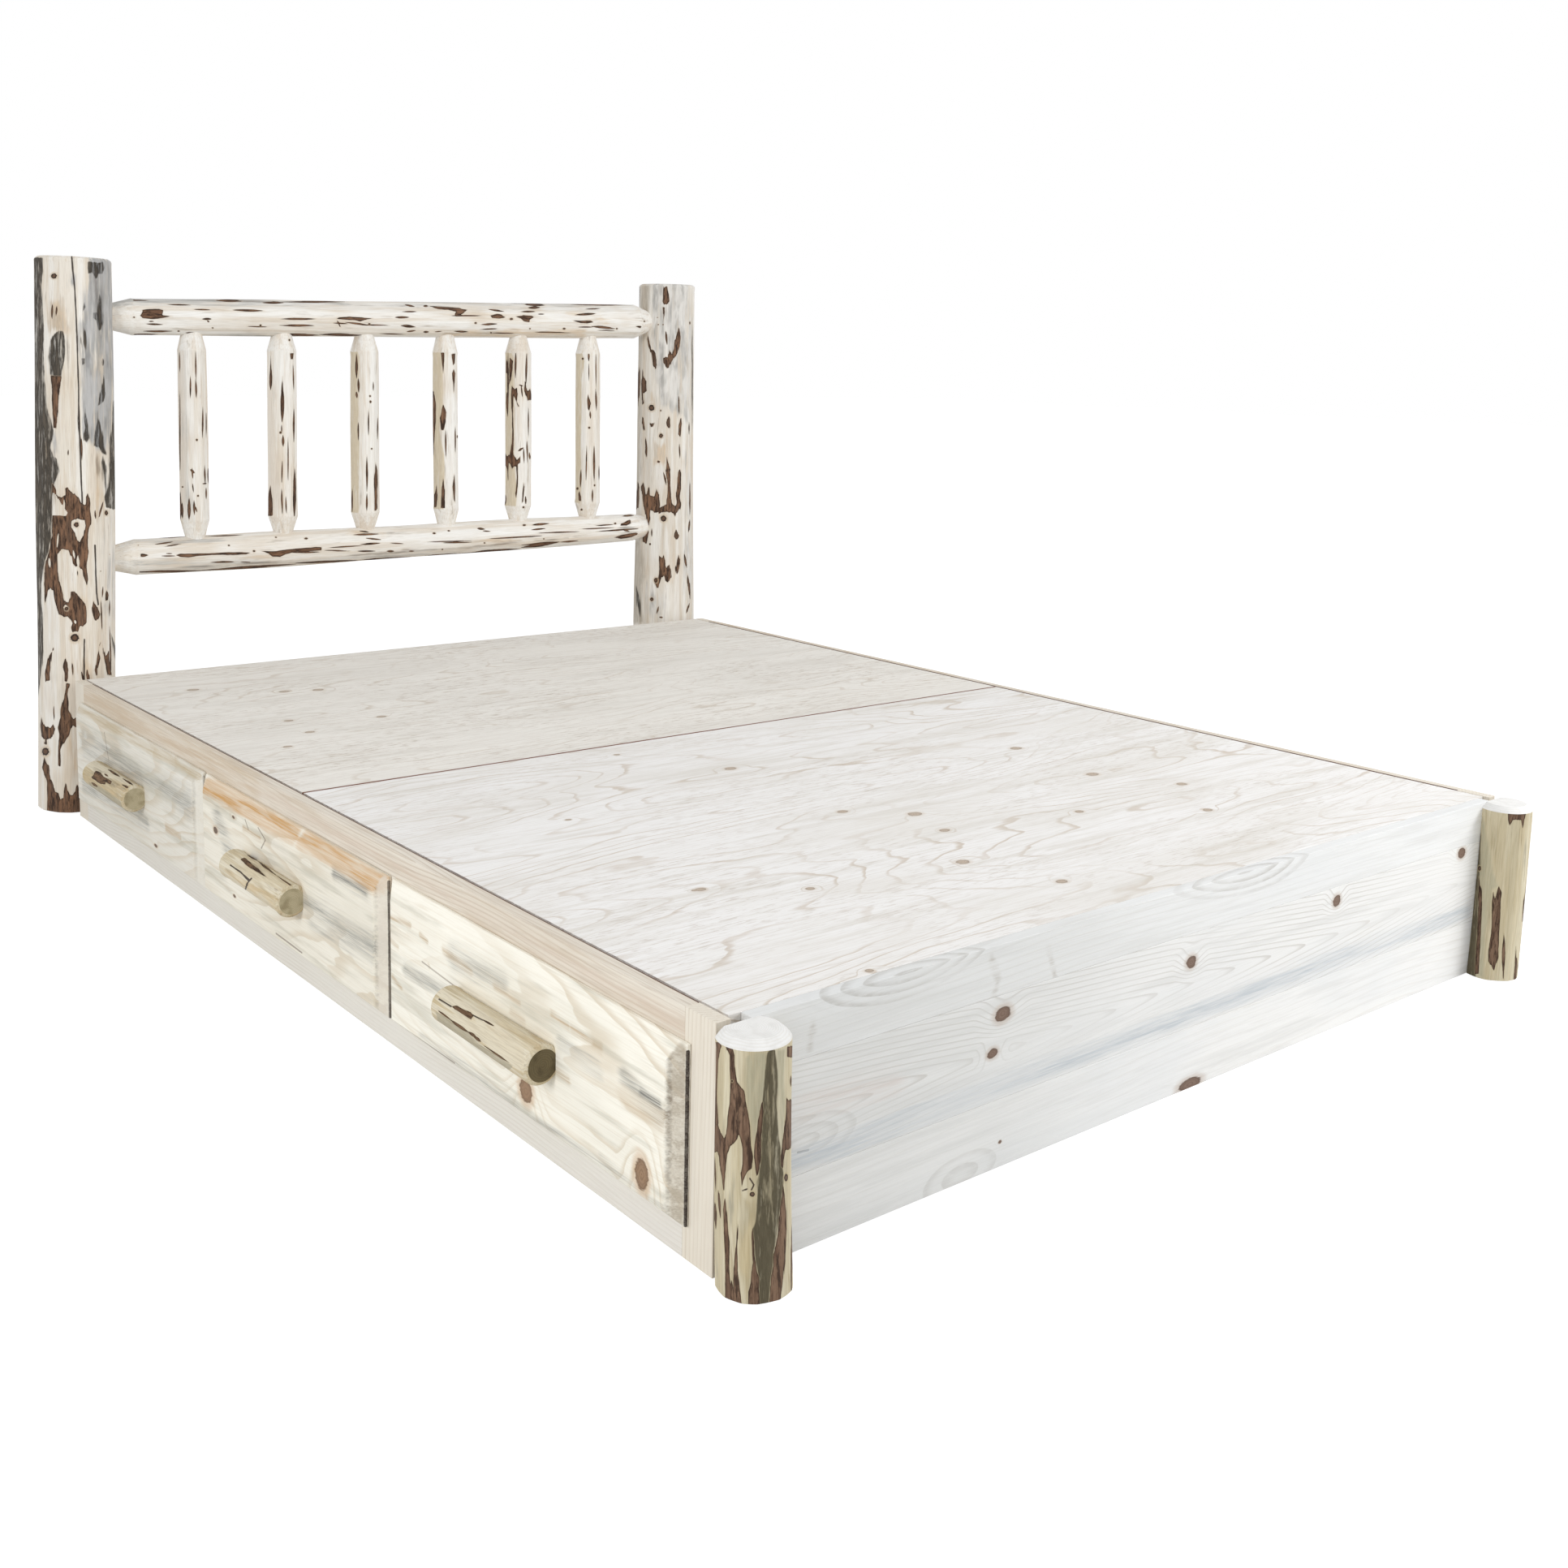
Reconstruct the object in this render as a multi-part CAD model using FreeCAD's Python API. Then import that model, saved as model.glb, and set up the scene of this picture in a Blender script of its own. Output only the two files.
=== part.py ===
import FreeCAD, Part
import os

V = FreeCAD.Vector
X_AXIS = V(1, 0, 0)
Y_AXIS = V(0, 1, 0)
Z_AXIS = V(0, 0, 1)

# Queen storage platform bed of bleached pine with a peeled log headboard.
# Lengths are in millimetres. The origin is on the floor under the middle of the bed,
# +Y points to the headboard and +X to the right of a person lying in the bed.

# Platform box
platform_width = 1562.0
platform_length = 2150.0
platform_height = 279.0
board_thickness = 19.0
lumber_thickness = 38.0
deck_thickness = 18.0
deck_side_gap = 3.0
deck_foot_gap = 0.6
deck_seam_gap = 1.0
deck_seam_place = 1080.0

# Face frames on the two long sides
end_stile_width = 54.0
top_rail_height = 49.0
bottom_rail_height = 52.0
drawers_per_side = 3

# Foot board of three glued planks
foot_board_proud = 11.0
foot_board_end_gap = 19.0
plank_height_shares = (0.31, 0.465, 0.225)

# Inner carcass
spine_thickness = 19.0
partition_thickness = 19.0
lap_clearance = 0.2
cleat_width = 19.0
cleat_height = 31.0
seam_bearer_width = 60.0

# Foot posts, half logs glued flat against the foot board
foot_post_radius = 40.0
foot_post_flat_offset = 20.0
foot_post_inset = 24.0
foot_post_chamfer = 9.0
foot_post_radius_shares = (0.98, 1.0, 0.99, 0.985)

# Peeled logs keep the long flats that the draw knife leaves
log_flat_count = 24
post_flat_count = 32

# Headboard logs
head_post_radius = 80.0
head_post_inset = 44.0
head_post_setback = 98.0
left_post_height = 1120.0
right_post_height = 1132.0
left_post_lean = 20.0
right_post_lean = 4.0
head_post_chamfer = 4.0
left_post_radius_shares = (0.95, 0.93, 0.945, 0.94, 0.9)
right_post_radius_shares = (0.995, 1.0, 0.92, 0.905, 0.89)
upper_rail_left_height = 1014.0
upper_rail_right_height = 1031.0
upper_rail_radius = 42.0
upper_rail_radius_shares = (0.895, 0.93, 0.955, 0.985, 1.0)
lower_rail_height = 510.0
lower_rail_radius = 41.0
lower_rail_radius_shares = (0.915, 1.0, 0.935, 1.0, 0.89)
rail_tenon_radius = 26.0
rail_tenon_depth = 48.0
rail_cone_length = 34.0
rail_cone_seat = 12.0
spindle_count = 6
spindle_pitch = 197.0
spindle_radius = 32.5
spindle_size_shares = (0.93, 1.0, 1.0, 0.925, 1.0, 0.975)
spindle_radius_shares = (0.985, 0.97, 1.0, 0.98, 0.955)
spindle_tenon_radius = 20.0
spindle_tenon_depth = 30.0
spindle_cone_length = 33.0
spindle_cone_seat = 6.0
tenon_clearance = 0.2
tenon_end_clearance = 1.5

# Board that ties the headboard posts to the platform
tie_board_end_gap = 17.0
tie_board_floor_gap = 50.0
tie_board_height = 180.0
housing_clearance = 0.2

# Drawers
front_overlay = 12.0
front_gap = 12.0
front_thickness = 19.0
front_edge_thickness = 4.5
front_bevel_top = 22.0
front_bevel_side = 22.0
front_bevel_bottom = 14.0
front_closing_gap = 0.5
box_depth = 640.0
box_side_gap = 2.0
box_floor_gap = 8.0
box_top_gap = 10.0
box_board_thickness = 15.0
box_dado_depth = 5.0
box_bottom_thickness = 6.0
box_bottom_height = 12.0
box_bottom_groove_depth = 6.0
box_joint_clearance = 0.1
runner_height = 12.0
runner_place = 82.0
runner_setback = 10.0
runner_length = 560.0
runner_slot_depth = 8.0
runner_slot_clearance = 0.3
runner_slot_stop = 26.0

# Log pulls
pull_length = 232.0
pull_radius = 25.0
pull_flat_offset = 17.0
pull_chamfer = 5.0
pull_height_share = 0.51
pull_shift_shares = (0.018, 0.044, 0.052)
pull_radius_shares = (1.0, 0.985, 0.97, 0.955)

# Fasteners
bolt_radius = 5.0
bolt_head_radius = 9.0
bolt_head_height = 6.5
washer_radius = 12.5
washer_thickness = 2.0
bolt_clearance = 0.15
head_bolt_grip = 60.0
head_bolt_height_shares = (0.22, 0.8)
cut_overrun = 5.0

# Places that follow from the sizes above
foot_post_front = foot_board_proud + foot_post_flat_offset + foot_post_radius
head_reach = platform_length + head_post_setback + head_post_radius
foot_end = (foot_post_front - head_reach) / 2
head_end = foot_end + platform_length
side_face = platform_width / 2
side_back = side_face - board_thickness
deck_underside = platform_height - deck_thickness
foot_board_face = foot_end - foot_board_proud
foot_board_back = foot_board_face + board_thickness
foot_member_back = foot_board_back + lumber_thickness
head_member_front = head_end - lumber_thickness
divider_width = front_gap + 2 * front_overlay
stile_reveal = end_stile_width - front_overlay
front_width = (platform_length - 2 * stile_reveal - front_gap * (drawers_per_side - 1)) / drawers_per_side
opening_width = front_width - 2 * front_overlay
opening_top = platform_height - top_rail_height
front_bottom = bottom_rail_height - front_overlay
front_height = opening_top + front_overlay - front_bottom
box_width = opening_width - 2 * box_side_gap
box_bottom = bottom_rail_height + box_floor_gap
box_height = opening_top - box_top_gap - box_bottom
box_front_face = side_face + front_closing_gap
runner_bottom = box_bottom + runner_place
post_axis_y = head_end + head_post_setback
foot_post_x = side_face - foot_post_inset
tie_board_half_length = side_back - tie_board_end_gap
foot_post_axis_y = foot_board_face - foot_post_flat_offset

SIDES = {"left": -1, "right": 1}


def block(x0, x1, y0, y1, z0, z1):
    """Box between two corners, given in any order along X."""
    low, high = min(x0, x1), max(x0, x1)
    return Part.makeBox(high - low, y1 - y0, z1 - z0, V(low, y0, z0))


def rod(radius, start, end):
    """Round rod from one point to another."""
    return Part.makeCylinder(radius, (end - start).Length, start, end - start)


def opening_start(index):
    """Foot side edge of a drawer opening, counted from the foot."""
    return foot_end + end_stile_width + index * (opening_width + divider_width)


def divider_middle(index):
    """Centre of the divider between a drawer and the next one towards the head."""
    return opening_start(index) + opening_width + divider_width / 2


def bark_line(radius, shares, low, high):
    """Side of a log as evenly spaced points, one for each share of its radius."""
    step = (high - low) / (len(shares) - 1)
    return [(radius * share, low + i * step) for i, share in enumerate(shares)]


def flat_face(corners):
    """Face through corners that lie in one plane."""
    return Part.Face(Part.makePolygon(corners + corners[:1]))


def hewn(profile, flats):
    """Solid about Z with long flats all round, from a half profile of radii and heights."""
    turns = [FreeCAD.Rotation(Z_AXIS, (i + 0.5) * 360 / flats) for i in range(flats)]
    rings = [[turn.multVec(V(radius, 0, height)) for turn in turns] for radius, height in profile]
    faces = [flat_face(rings[0]), flat_face(rings[-1])]
    for low, high in zip(rings, rings[1:]):
        faces += [flat_face([low[i - 1], low[i], high[i], high[i - 1]]) for i in range(flats)]
    return Part.Solid(Part.Shell(faces))


def sawn_log(length, radius, shares, chamfer_low, chamfer_high, flats):
    """Log standing on the XY plane with its sawn ends chamfered."""
    bark = bark_line(radius, shares, chamfer_low, length - chamfer_high)
    low_end = [(bark[0][0] - chamfer_low, 0)] if chamfer_low else []
    return hewn(low_end + bark + [(bark[-1][0] - chamfer_high, length)], flats)


def tenoned_log(length, radius, shares, tenon_radius, tenon_length, cone):
    """Log along +Z with a round tenon and a cone shoulder at each end."""
    bark = bark_line(radius, shares, tenon_length + cone, length - tenon_length - cone)
    low_end = [(tenon_radius, 0), (tenon_radius, tenon_length)]
    high_end = [(tenon_radius, length - tenon_length), (tenon_radius, length)]
    return hewn(low_end + bark + high_end, log_flat_count)


def tenon_socket(tenon_radius, tenon_length, shoulder, cone):
    """Space for a tenon and its cone, along +Z from the tenon's tip, with clearance all round."""
    bore = tenon_radius + tenon_clearance
    return hewn([(bore, -tenon_end_clearance), (bore, tenon_length),
                 (shoulder + tenon_clearance, tenon_length + cone)], log_flat_count)


def aimed(shape, start, end):
    """Copy of a shape built along +Z, moved to run from one point towards another."""
    moved = shape.copy()
    moved.Placement = FreeCAD.Placement(start, FreeCAD.Rotation(Z_AXIS, end - start))
    return moved


def post_axis_x(side, height):
    """X of a head post's axis at a height; both posts lean towards the bed's middle."""
    lean, full = (left_post_lean, left_post_height) if side < 0 else (right_post_lean, right_post_height)
    middle = side_face - head_post_inset + lean / 2
    return side * (middle - lean * height / full)


def rail_axis(left_height, right_height):
    """End points of a rail's tenons, inside the posts."""
    left = V(post_axis_x(-1, left_height), post_axis_y, left_height)
    right = V(post_axis_x(1, right_height), post_axis_y, right_height)
    along = (right - left).normalize()
    reach = head_post_radius - rail_tenon_depth
    return left + along * reach, right - along * reach


def rail_tenon_length():
    """Straight part of a rail's tenon, up to where its cone begins inside the post."""
    return rail_tenon_depth - rail_cone_seat


def head_rail(start, end, radius, shares):
    """Rail log with both ends shouldered into the posts."""
    tenon = rail_tenon_length()
    cone = rail_cone_length + rail_cone_seat
    log = tenoned_log((end - start).Length, radius, shares, rail_tenon_radius, tenon, cone)
    return aimed(log, start, end)


def rail_sockets(start, end, radius, shares):
    """Spaces that a rail's two ends take in the posts."""
    tenon = rail_tenon_length()
    cone = rail_cone_length + rail_cone_seat
    low = tenon_socket(rail_tenon_radius, tenon, radius * shares[0], cone)
    high = tenon_socket(rail_tenon_radius, tenon, radius * shares[-1], cone)
    return [aimed(low, start, end), aimed(high, end, start)]


def rail_height_at(start, end, x):
    """Height of a rail's axis over a place along the headboard."""
    return start.z + (end.z - start.z) * (x - start.x) / (end.x - start.x)


def spindle_span(x, lower, upper):
    """Tip heights of a spindle's tenons in the lower and the upper rail."""
    low = rail_height_at(*lower, x) + lower_rail_radius - spindle_tenon_depth
    high = rail_height_at(*upper, x) - upper_rail_radius + spindle_tenon_depth
    return V(x, post_axis_y, low), V(x, post_axis_y, high)


def spindle_parts(index, lower, upper):
    """One spindle, and the spaces that it takes in the lower and the upper rail."""
    x = (index - (spindle_count - 1) / 2) * spindle_pitch
    start, end = spindle_span(x, lower, upper)
    radius = spindle_radius * spindle_size_shares[index]
    tenon = spindle_tenon_depth - spindle_cone_seat
    cone = spindle_cone_length + spindle_cone_seat
    log = tenoned_log((end - start).Length, radius, spindle_radius_shares,
                      spindle_tenon_radius, tenon, cone)
    low = tenon_socket(spindle_tenon_radius, tenon, radius * spindle_radius_shares[0], cone)
    high = tenon_socket(spindle_tenon_radius, tenon, radius * spindle_radius_shares[-1], cone)
    return aimed(log, start, end), aimed(low, start, end), aimed(high, end, start)


def head_post(side):
    """Leaning head post, sawn level at the floor and housed in front for the tie board."""
    if side < 0:
        height, shares = left_post_height, left_post_radius_shares
    else:
        height, shares = right_post_height, right_post_radius_shares
    foot = V(post_axis_x(side, 0), post_axis_y, 0)
    top = V(post_axis_x(side, height), post_axis_y, height)
    foot -= (top - foot).normalize() * cut_overrun
    log = sawn_log((top - foot).Length, head_post_radius, shares, 0, head_post_chamfer, post_flat_count)
    reach = head_post_radius + cut_overrun
    waste = block(foot.x - reach, foot.x + reach, foot.y - reach, foot.y + reach, -reach, 0)
    housing = block(0, side * (tie_board_half_length + housing_clearance),
                    head_end - cut_overrun, head_end + lumber_thickness + housing_clearance,
                    tie_board_floor_gap - housing_clearance,
                    tie_board_floor_gap + tie_board_height + housing_clearance)
    return aimed(log, foot, top).cut([waste, housing])


def head_bolt_place(side, share):
    """Place of a headboard bolt, near the post's axis but inside the tie board's end."""
    height = tie_board_floor_gap + tie_board_height * share
    inset = washer_radius + housing_clearance
    return V(side * (min(abs(post_axis_x(side, height)), tie_board_half_length) - inset), 0, height)


def hex_bolt(place, seat_y, tip_y):
    """Hexagon bolt with its washer, driven along +Y from the face that its washer bears on."""
    washer_y = seat_y - washer_thickness
    washer = rod(washer_radius, V(place.x, washer_y, place.z), V(place.x, seat_y, place.z))
    corners = [FreeCAD.Rotation(Y_AXIS, 60 * i).multVec(V(bolt_head_radius, 0, 0)) for i in range(6)]
    head = flat_face(corners).extrude(Y_AXIS * -bolt_head_height)
    head.translate(V(place.x, washer_y, place.z))
    shank = rod(bolt_radius, V(place.x, washer_y, place.z), V(place.x, tip_y, place.z))
    return washer.fuse([head, shank]).removeSplitter()


def bolt_hole(place, start_y, end_y):
    """Round hole along Y for a bolt's shank."""
    return rod(bolt_radius + bolt_clearance, V(place.x, start_y, place.z), V(place.x, end_y, place.z))


def headboard(parts):
    """Posts, rails, spindles, tie board and the bolts that hold them to the platform."""
    upper = rail_axis(upper_rail_left_height, upper_rail_right_height)
    lower = rail_axis(lower_rail_height, lower_rail_height)
    rails = {"upper": head_rail(*upper, upper_rail_radius, upper_rail_radius_shares),
             "lower": head_rail(*lower, lower_rail_radius, lower_rail_radius_shares)}
    for index in range(spindle_count):
        log, low, high = spindle_parts(index, lower, upper)
        rails["lower"] = rails["lower"].cut(low)
        rails["upper"] = rails["upper"].cut(high)
        parts["spindle_%d" % (index + 1)] = log
    upper_sockets = rail_sockets(*upper, upper_rail_radius, upper_rail_radius_shares)
    lower_sockets = rail_sockets(*lower, lower_rail_radius, lower_rail_radius_shares)
    tie_board = block(-tie_board_half_length, tie_board_half_length, head_end, head_end + lumber_thickness,
                      tie_board_floor_gap, tie_board_floor_gap + tie_board_height)
    shank_end = head_end + lumber_thickness + head_bolt_grip
    bolts = []
    for end, (name, side) in enumerate(SIDES.items()):
        post = head_post(side).cut([upper_sockets[end], lower_sockets[end]])
        for share in head_bolt_height_shares:
            place = head_bolt_place(side, share)
            hole = bolt_hole(place, head_end - cut_overrun, shank_end + bolt_clearance)
            post = post.cut(hole)
            tie_board = tie_board.cut(hole)
            bolts.append(hex_bolt(place, head_member_front, shank_end))
        parts["head_post_" + name] = post
    parts["head_rail_upper"] = rails["upper"]
    parts["head_rail_lower"] = rails["lower"]
    parts["headboard_tie_board"] = tie_board
    parts["headboard_bolts"] = Part.makeCompound(bolts)


def side_face_frame(parts, name, side):
    """Face frame of one long side: rails, end stiles and the dividers between drawers."""
    outer, inner = side * side_face, side * side_back
    stile_foot_end = foot_end + end_stile_width
    stile_head_start = head_end - end_stile_width
    parts["side_stile_foot_" + name] = block(outer, inner, foot_end, stile_foot_end, 0, platform_height)
    parts["side_stile_head_" + name] = block(outer, inner, stile_head_start, head_end, 0, platform_height)
    parts["side_rail_top_" + name] = block(outer, inner, stile_foot_end, stile_head_start,
                                           opening_top, platform_height)
    parts["side_rail_bottom_" + name] = block(outer, inner, stile_foot_end, stile_head_start,
                                              0, bottom_rail_height)
    for index in range(drawers_per_side - 1):
        middle = divider_middle(index)
        parts["side_divider_%s_%d" % (name, index + 1)] = block(
            outer, inner, middle - divider_width / 2, middle + divider_width / 2,
            bottom_rail_height, opening_top)


def foot_post(side):
    """Half log standing against the foot board, with a chamfered top."""
    log = sawn_log(platform_height, foot_post_radius, foot_post_radius_shares,
                   0, foot_post_chamfer, log_flat_count)
    log.translate(V(side * foot_post_x, foot_post_axis_y, 0))
    back = block(side * foot_post_x - foot_post_radius - cut_overrun,
                 side * foot_post_x + foot_post_radius + cut_overrun,
                 foot_board_face, foot_board_face + foot_post_radius, -cut_overrun,
                 platform_height + cut_overrun)
    return log.cut(back)


def foot_assembly(parts):
    """Foot board planks, the cross member behind them and the foot posts."""
    end = side_back - foot_board_end_gap
    low = 0
    for name, share in zip(("lower", "middle", "upper"), plank_height_shares):
        high = low + platform_height * share
        parts["foot_plank_" + name] = block(-end, end, foot_board_face, foot_board_back, low, high)
        low = high
    parts["foot_cross_member"] = block(-side_back, side_back, foot_board_back, foot_member_back,
                                       0, deck_underside)
    for name, side in SIDES.items():
        parts["foot_post_" + name] = foot_post(side)


def carcass(parts):
    """Head cross member, spine, partitions lapped across it, deck cleats and seam bearer."""
    head_member = block(-side_back, side_back, head_member_front, head_end, 0, deck_underside)
    for side in SIDES.values():
        for share in head_bolt_height_shares:
            place = head_bolt_place(side, share)
            head_member = head_member.cut(bolt_hole(place, head_member_front - cut_overrun,
                                                    head_end + cut_overrun))
    parts["head_cross_member"] = head_member

    half_spine = spine_thickness / 2
    lap_height = deck_underside / 2
    seam = foot_end + deck_seam_place
    cleat_bottom = deck_underside - cleat_height
    cleat_inner = side_back - cleat_width
    spine = block(-half_spine, half_spine, foot_member_back, head_member_front, 0, deck_underside)
    bearer_start, bearer_end = seam - seam_bearer_width / 2, seam + seam_bearer_width / 2
    spine = spine.cut(block(-half_spine, half_spine, bearer_start - lap_clearance,
                            bearer_end + lap_clearance, cleat_bottom, platform_height))
    for index in range(drawers_per_side - 1):
        start = divider_middle(index) - partition_thickness / 2
        end = start + partition_thickness
        partition = block(-side_back, side_back, start, end, 0, deck_underside)
        slot = block(-half_spine - lap_clearance, half_spine + lap_clearance, start, end, 0, lap_height)
        notches = [block(side * cleat_inner, side * side_back, start, end, cleat_bottom, platform_height)
                   for side in SIDES.values()]
        parts["cross_partition_%d" % (index + 1)] = partition.cut([slot] + notches)
        spine = spine.cut(block(-half_spine, half_spine, start - lap_clearance, end + lap_clearance,
                                lap_height, platform_height))
    parts["centre_spine"] = spine
    for name, side in SIDES.items():
        parts["deck_cleat_" + name] = block(side * cleat_inner, side * side_back,
                                            foot_member_back, head_member_front,
                                            cleat_bottom, deck_underside)
    parts["deck_seam_bearer"] = block(-cleat_inner, cleat_inner, bearer_start, bearer_end,
                                      cleat_bottom, deck_underside)


def deck(parts):
    """Two plywood panels, level with the tops of the side frames and the foot board."""
    half = side_back - deck_side_gap
    seam = foot_end + deck_seam_place
    parts["deck_panel_foot"] = block(-half, half, foot_board_back + deck_foot_gap,
                                     seam - deck_seam_gap / 2, deck_underside, platform_height)
    parts["deck_panel_head"] = block(-half, half, seam + deck_seam_gap / 2, head_end,
                                     deck_underside, platform_height)


def runner_carriers(index):
    """Faces along Y that carry the foot side and the head side runner of a drawer bay."""
    foot_face = foot_member_back if index == 0 else divider_middle(index - 1) + partition_thickness / 2
    is_last = index == drawers_per_side - 1
    head_face = head_member_front if is_last else divider_middle(index) - partition_thickness / 2
    return foot_face, head_face


def bay_runners(index, side):
    """The two hardwood runners of a drawer bay, reaching into the slots of the drawer's sides."""
    foot_face, head_face = runner_carriers(index)
    start = side * (side_back - runner_setback)
    end = start - side * runner_length
    into = box_side_gap + runner_slot_depth - runner_slot_clearance
    low_edge = opening_start(index) + into
    high_edge = opening_start(index) + opening_width - into
    top = runner_bottom + runner_height
    return [block(start, end, foot_face, low_edge, runner_bottom, top),
            block(start, end, high_edge, head_face, runner_bottom, top)]


def raised_front(index, side):
    """Drawer front with a raised field: a thin edge and bevels that rise to full thickness."""
    y0 = opening_start(index) - front_overlay
    y1 = y0 + front_width
    z0, z1 = front_bottom, front_bottom + front_height
    back = side * box_front_face
    edge = side * (side_face + front_edge_thickness)
    field = side * (side_face + front_thickness)

    def outline(x, bottom, top, ends):
        corners = [V(x, y0 + ends, z0 + bottom), V(x, y1 - ends, z0 + bottom),
                   V(x, y1 - ends, z1 - top), V(x, y0 + ends, z1 - top)]
        return Part.makePolygon(corners + corners[:1])

    slab = block(back, edge, y0, y1, z0, z1)
    field_outline = outline(field, front_bevel_bottom, front_bevel_top, front_bevel_side)
    raised = Part.makeLoft([outline(edge, 0, 0, 0), field_outline], True, True)
    return slab.fuse(raised).removeSplitter()


def box_wall(outer, inward, y0, y1, groove_low, groove_high):
    """Front or back wall of a drawer box, grooved on its inner face for the bottom panel."""
    inner = outer + inward * box_board_thickness
    wall = block(outer, inner, y0, y1, box_bottom, box_bottom + box_height)
    return wall.cut(block(inner, inner - inward * box_bottom_groove_depth, y0, y1, groove_low, groove_high))


def box_side(outer, inward, front, side, groove_low, groove_high):
    """Side board of a drawer box: runner slot outside, dadoes and bottom groove inside."""
    back = front - side * box_depth
    inner = outer + inward * box_board_thickness
    z0, z1 = box_bottom, box_bottom + box_height
    dado_width = box_board_thickness + box_joint_clearance

    def pocket(x0, x1, face, depth, low, high):
        floor = face + (depth if face == outer else -depth) * inward
        return block(x0, x1, min(face, floor), max(face, floor), low, high)

    board = block(front, back, min(outer, inner), max(outer, inner), z0, z1)
    return board.cut([
        pocket(front - side * runner_slot_stop, back, outer, runner_slot_depth,
               runner_bottom - runner_slot_clearance, runner_bottom + runner_height + runner_slot_clearance),
        pocket(front, front - side * dado_width, inner, box_dado_depth + box_joint_clearance, z0, z1),
        pocket(back, back + side * dado_width, inner, box_dado_depth + box_joint_clearance, z0, z1),
        pocket(front, back, inner, box_bottom_groove_depth, groove_low, groove_high)])


def drawer_box(index, side):
    """Box of five boards: sides dadoed for the end walls, and a bottom held in grooves."""
    y0 = opening_start(index) + box_side_gap
    y1 = y0 + box_width
    front = side * box_front_face
    back = front - side * box_depth
    panel_low = box_bottom + box_bottom_height
    panel_high = panel_low + box_bottom_thickness
    groove = (panel_low - box_joint_clearance, panel_high + box_joint_clearance)
    wall_start = y0 + box_board_thickness - box_dado_depth
    wall_end = y1 - box_board_thickness + box_dado_depth
    reach = box_board_thickness - box_bottom_groove_depth + box_joint_clearance
    return Part.makeCompound([
        box_side(y0, 1, front, side, *groove),
        box_side(y1, -1, front, side, *groove),
        box_wall(front, -side, wall_start, wall_end, *groove),
        box_wall(back, side, wall_start, wall_end, *groove),
        block(front - side * reach, back + side * reach, y0 + reach, y1 - reach, panel_low, panel_high)])


def drawer_pull(index, side):
    """Short peeled log with a flat back, lying along the drawer front."""
    log = sawn_log(pull_length, pull_radius, pull_radius_shares, pull_chamfer, pull_chamfer, log_flat_count)
    middle = opening_start(index) + opening_width / 2 + front_width * pull_shift_shares[index]
    height = front_bottom + front_height * pull_height_share
    face = side * (side_face + front_thickness)
    x = face + side * pull_flat_offset
    log = aimed(log, V(x, middle - pull_length / 2, height), V(x, middle + pull_length / 2, height))
    behind = block(face, face - side * pull_radius, middle - pull_length, middle + pull_length,
                   height - pull_radius - cut_overrun, height + pull_radius + cut_overrun)
    return log.cut(behind)


def drawers(parts):
    """Three drawers on each side, with the runners of their bays."""
    for name, side in SIDES.items():
        runners = []
        for index in range(drawers_per_side):
            label = "%s_%d" % (name, index + 1)
            parts["drawer_front_" + label] = raised_front(index, side)
            parts["drawer_box_" + label] = drawer_box(index, side)
            parts["drawer_pull_" + label] = drawer_pull(index, side)
            runners += bay_runners(index, side)
        parts["drawer_runners_" + name] = Part.makeCompound(runners)


def build():
    """All sub-parts by node name."""
    parts = {}
    headboard(parts)
    for name, side in SIDES.items():
        side_face_frame(parts, name, side)
    foot_assembly(parts)
    carcass(parts)
    deck(parts)
    drawers(parts)
    return parts


os.makedirs("parts", exist_ok=True)
for node, shape in build().items():
    shape.exportStep("parts/%s.step" % node)
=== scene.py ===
"""The looks of a storage platform bed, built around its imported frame. Metres, +Z up, the foot end towards -Y.

The frame's boards keep their shapes and get solid wood materials. Its logs are replaced by finer ones,
peeled and hewn, with the marks that the photograph shows on them.
"""

import math

import bpy
import numpy as np
from mathutils import Matrix, Vector


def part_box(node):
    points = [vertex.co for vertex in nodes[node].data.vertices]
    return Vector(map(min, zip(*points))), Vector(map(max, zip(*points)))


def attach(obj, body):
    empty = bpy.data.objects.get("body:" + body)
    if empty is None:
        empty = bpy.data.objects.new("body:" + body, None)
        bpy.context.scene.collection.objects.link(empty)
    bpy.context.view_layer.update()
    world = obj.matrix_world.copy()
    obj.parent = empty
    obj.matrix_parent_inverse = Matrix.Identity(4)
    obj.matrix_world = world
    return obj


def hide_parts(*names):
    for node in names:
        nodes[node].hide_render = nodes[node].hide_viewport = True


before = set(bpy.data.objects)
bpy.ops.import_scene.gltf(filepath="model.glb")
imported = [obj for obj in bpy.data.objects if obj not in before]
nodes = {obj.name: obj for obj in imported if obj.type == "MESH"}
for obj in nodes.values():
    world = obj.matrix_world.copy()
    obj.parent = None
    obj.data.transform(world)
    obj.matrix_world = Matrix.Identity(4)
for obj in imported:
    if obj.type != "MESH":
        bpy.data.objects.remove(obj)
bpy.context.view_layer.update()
scene = bpy.context.scene
MM = 0.001


# The photograph's camera, solved from the bed's edges. The photograph is 1932 pixels square.

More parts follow.
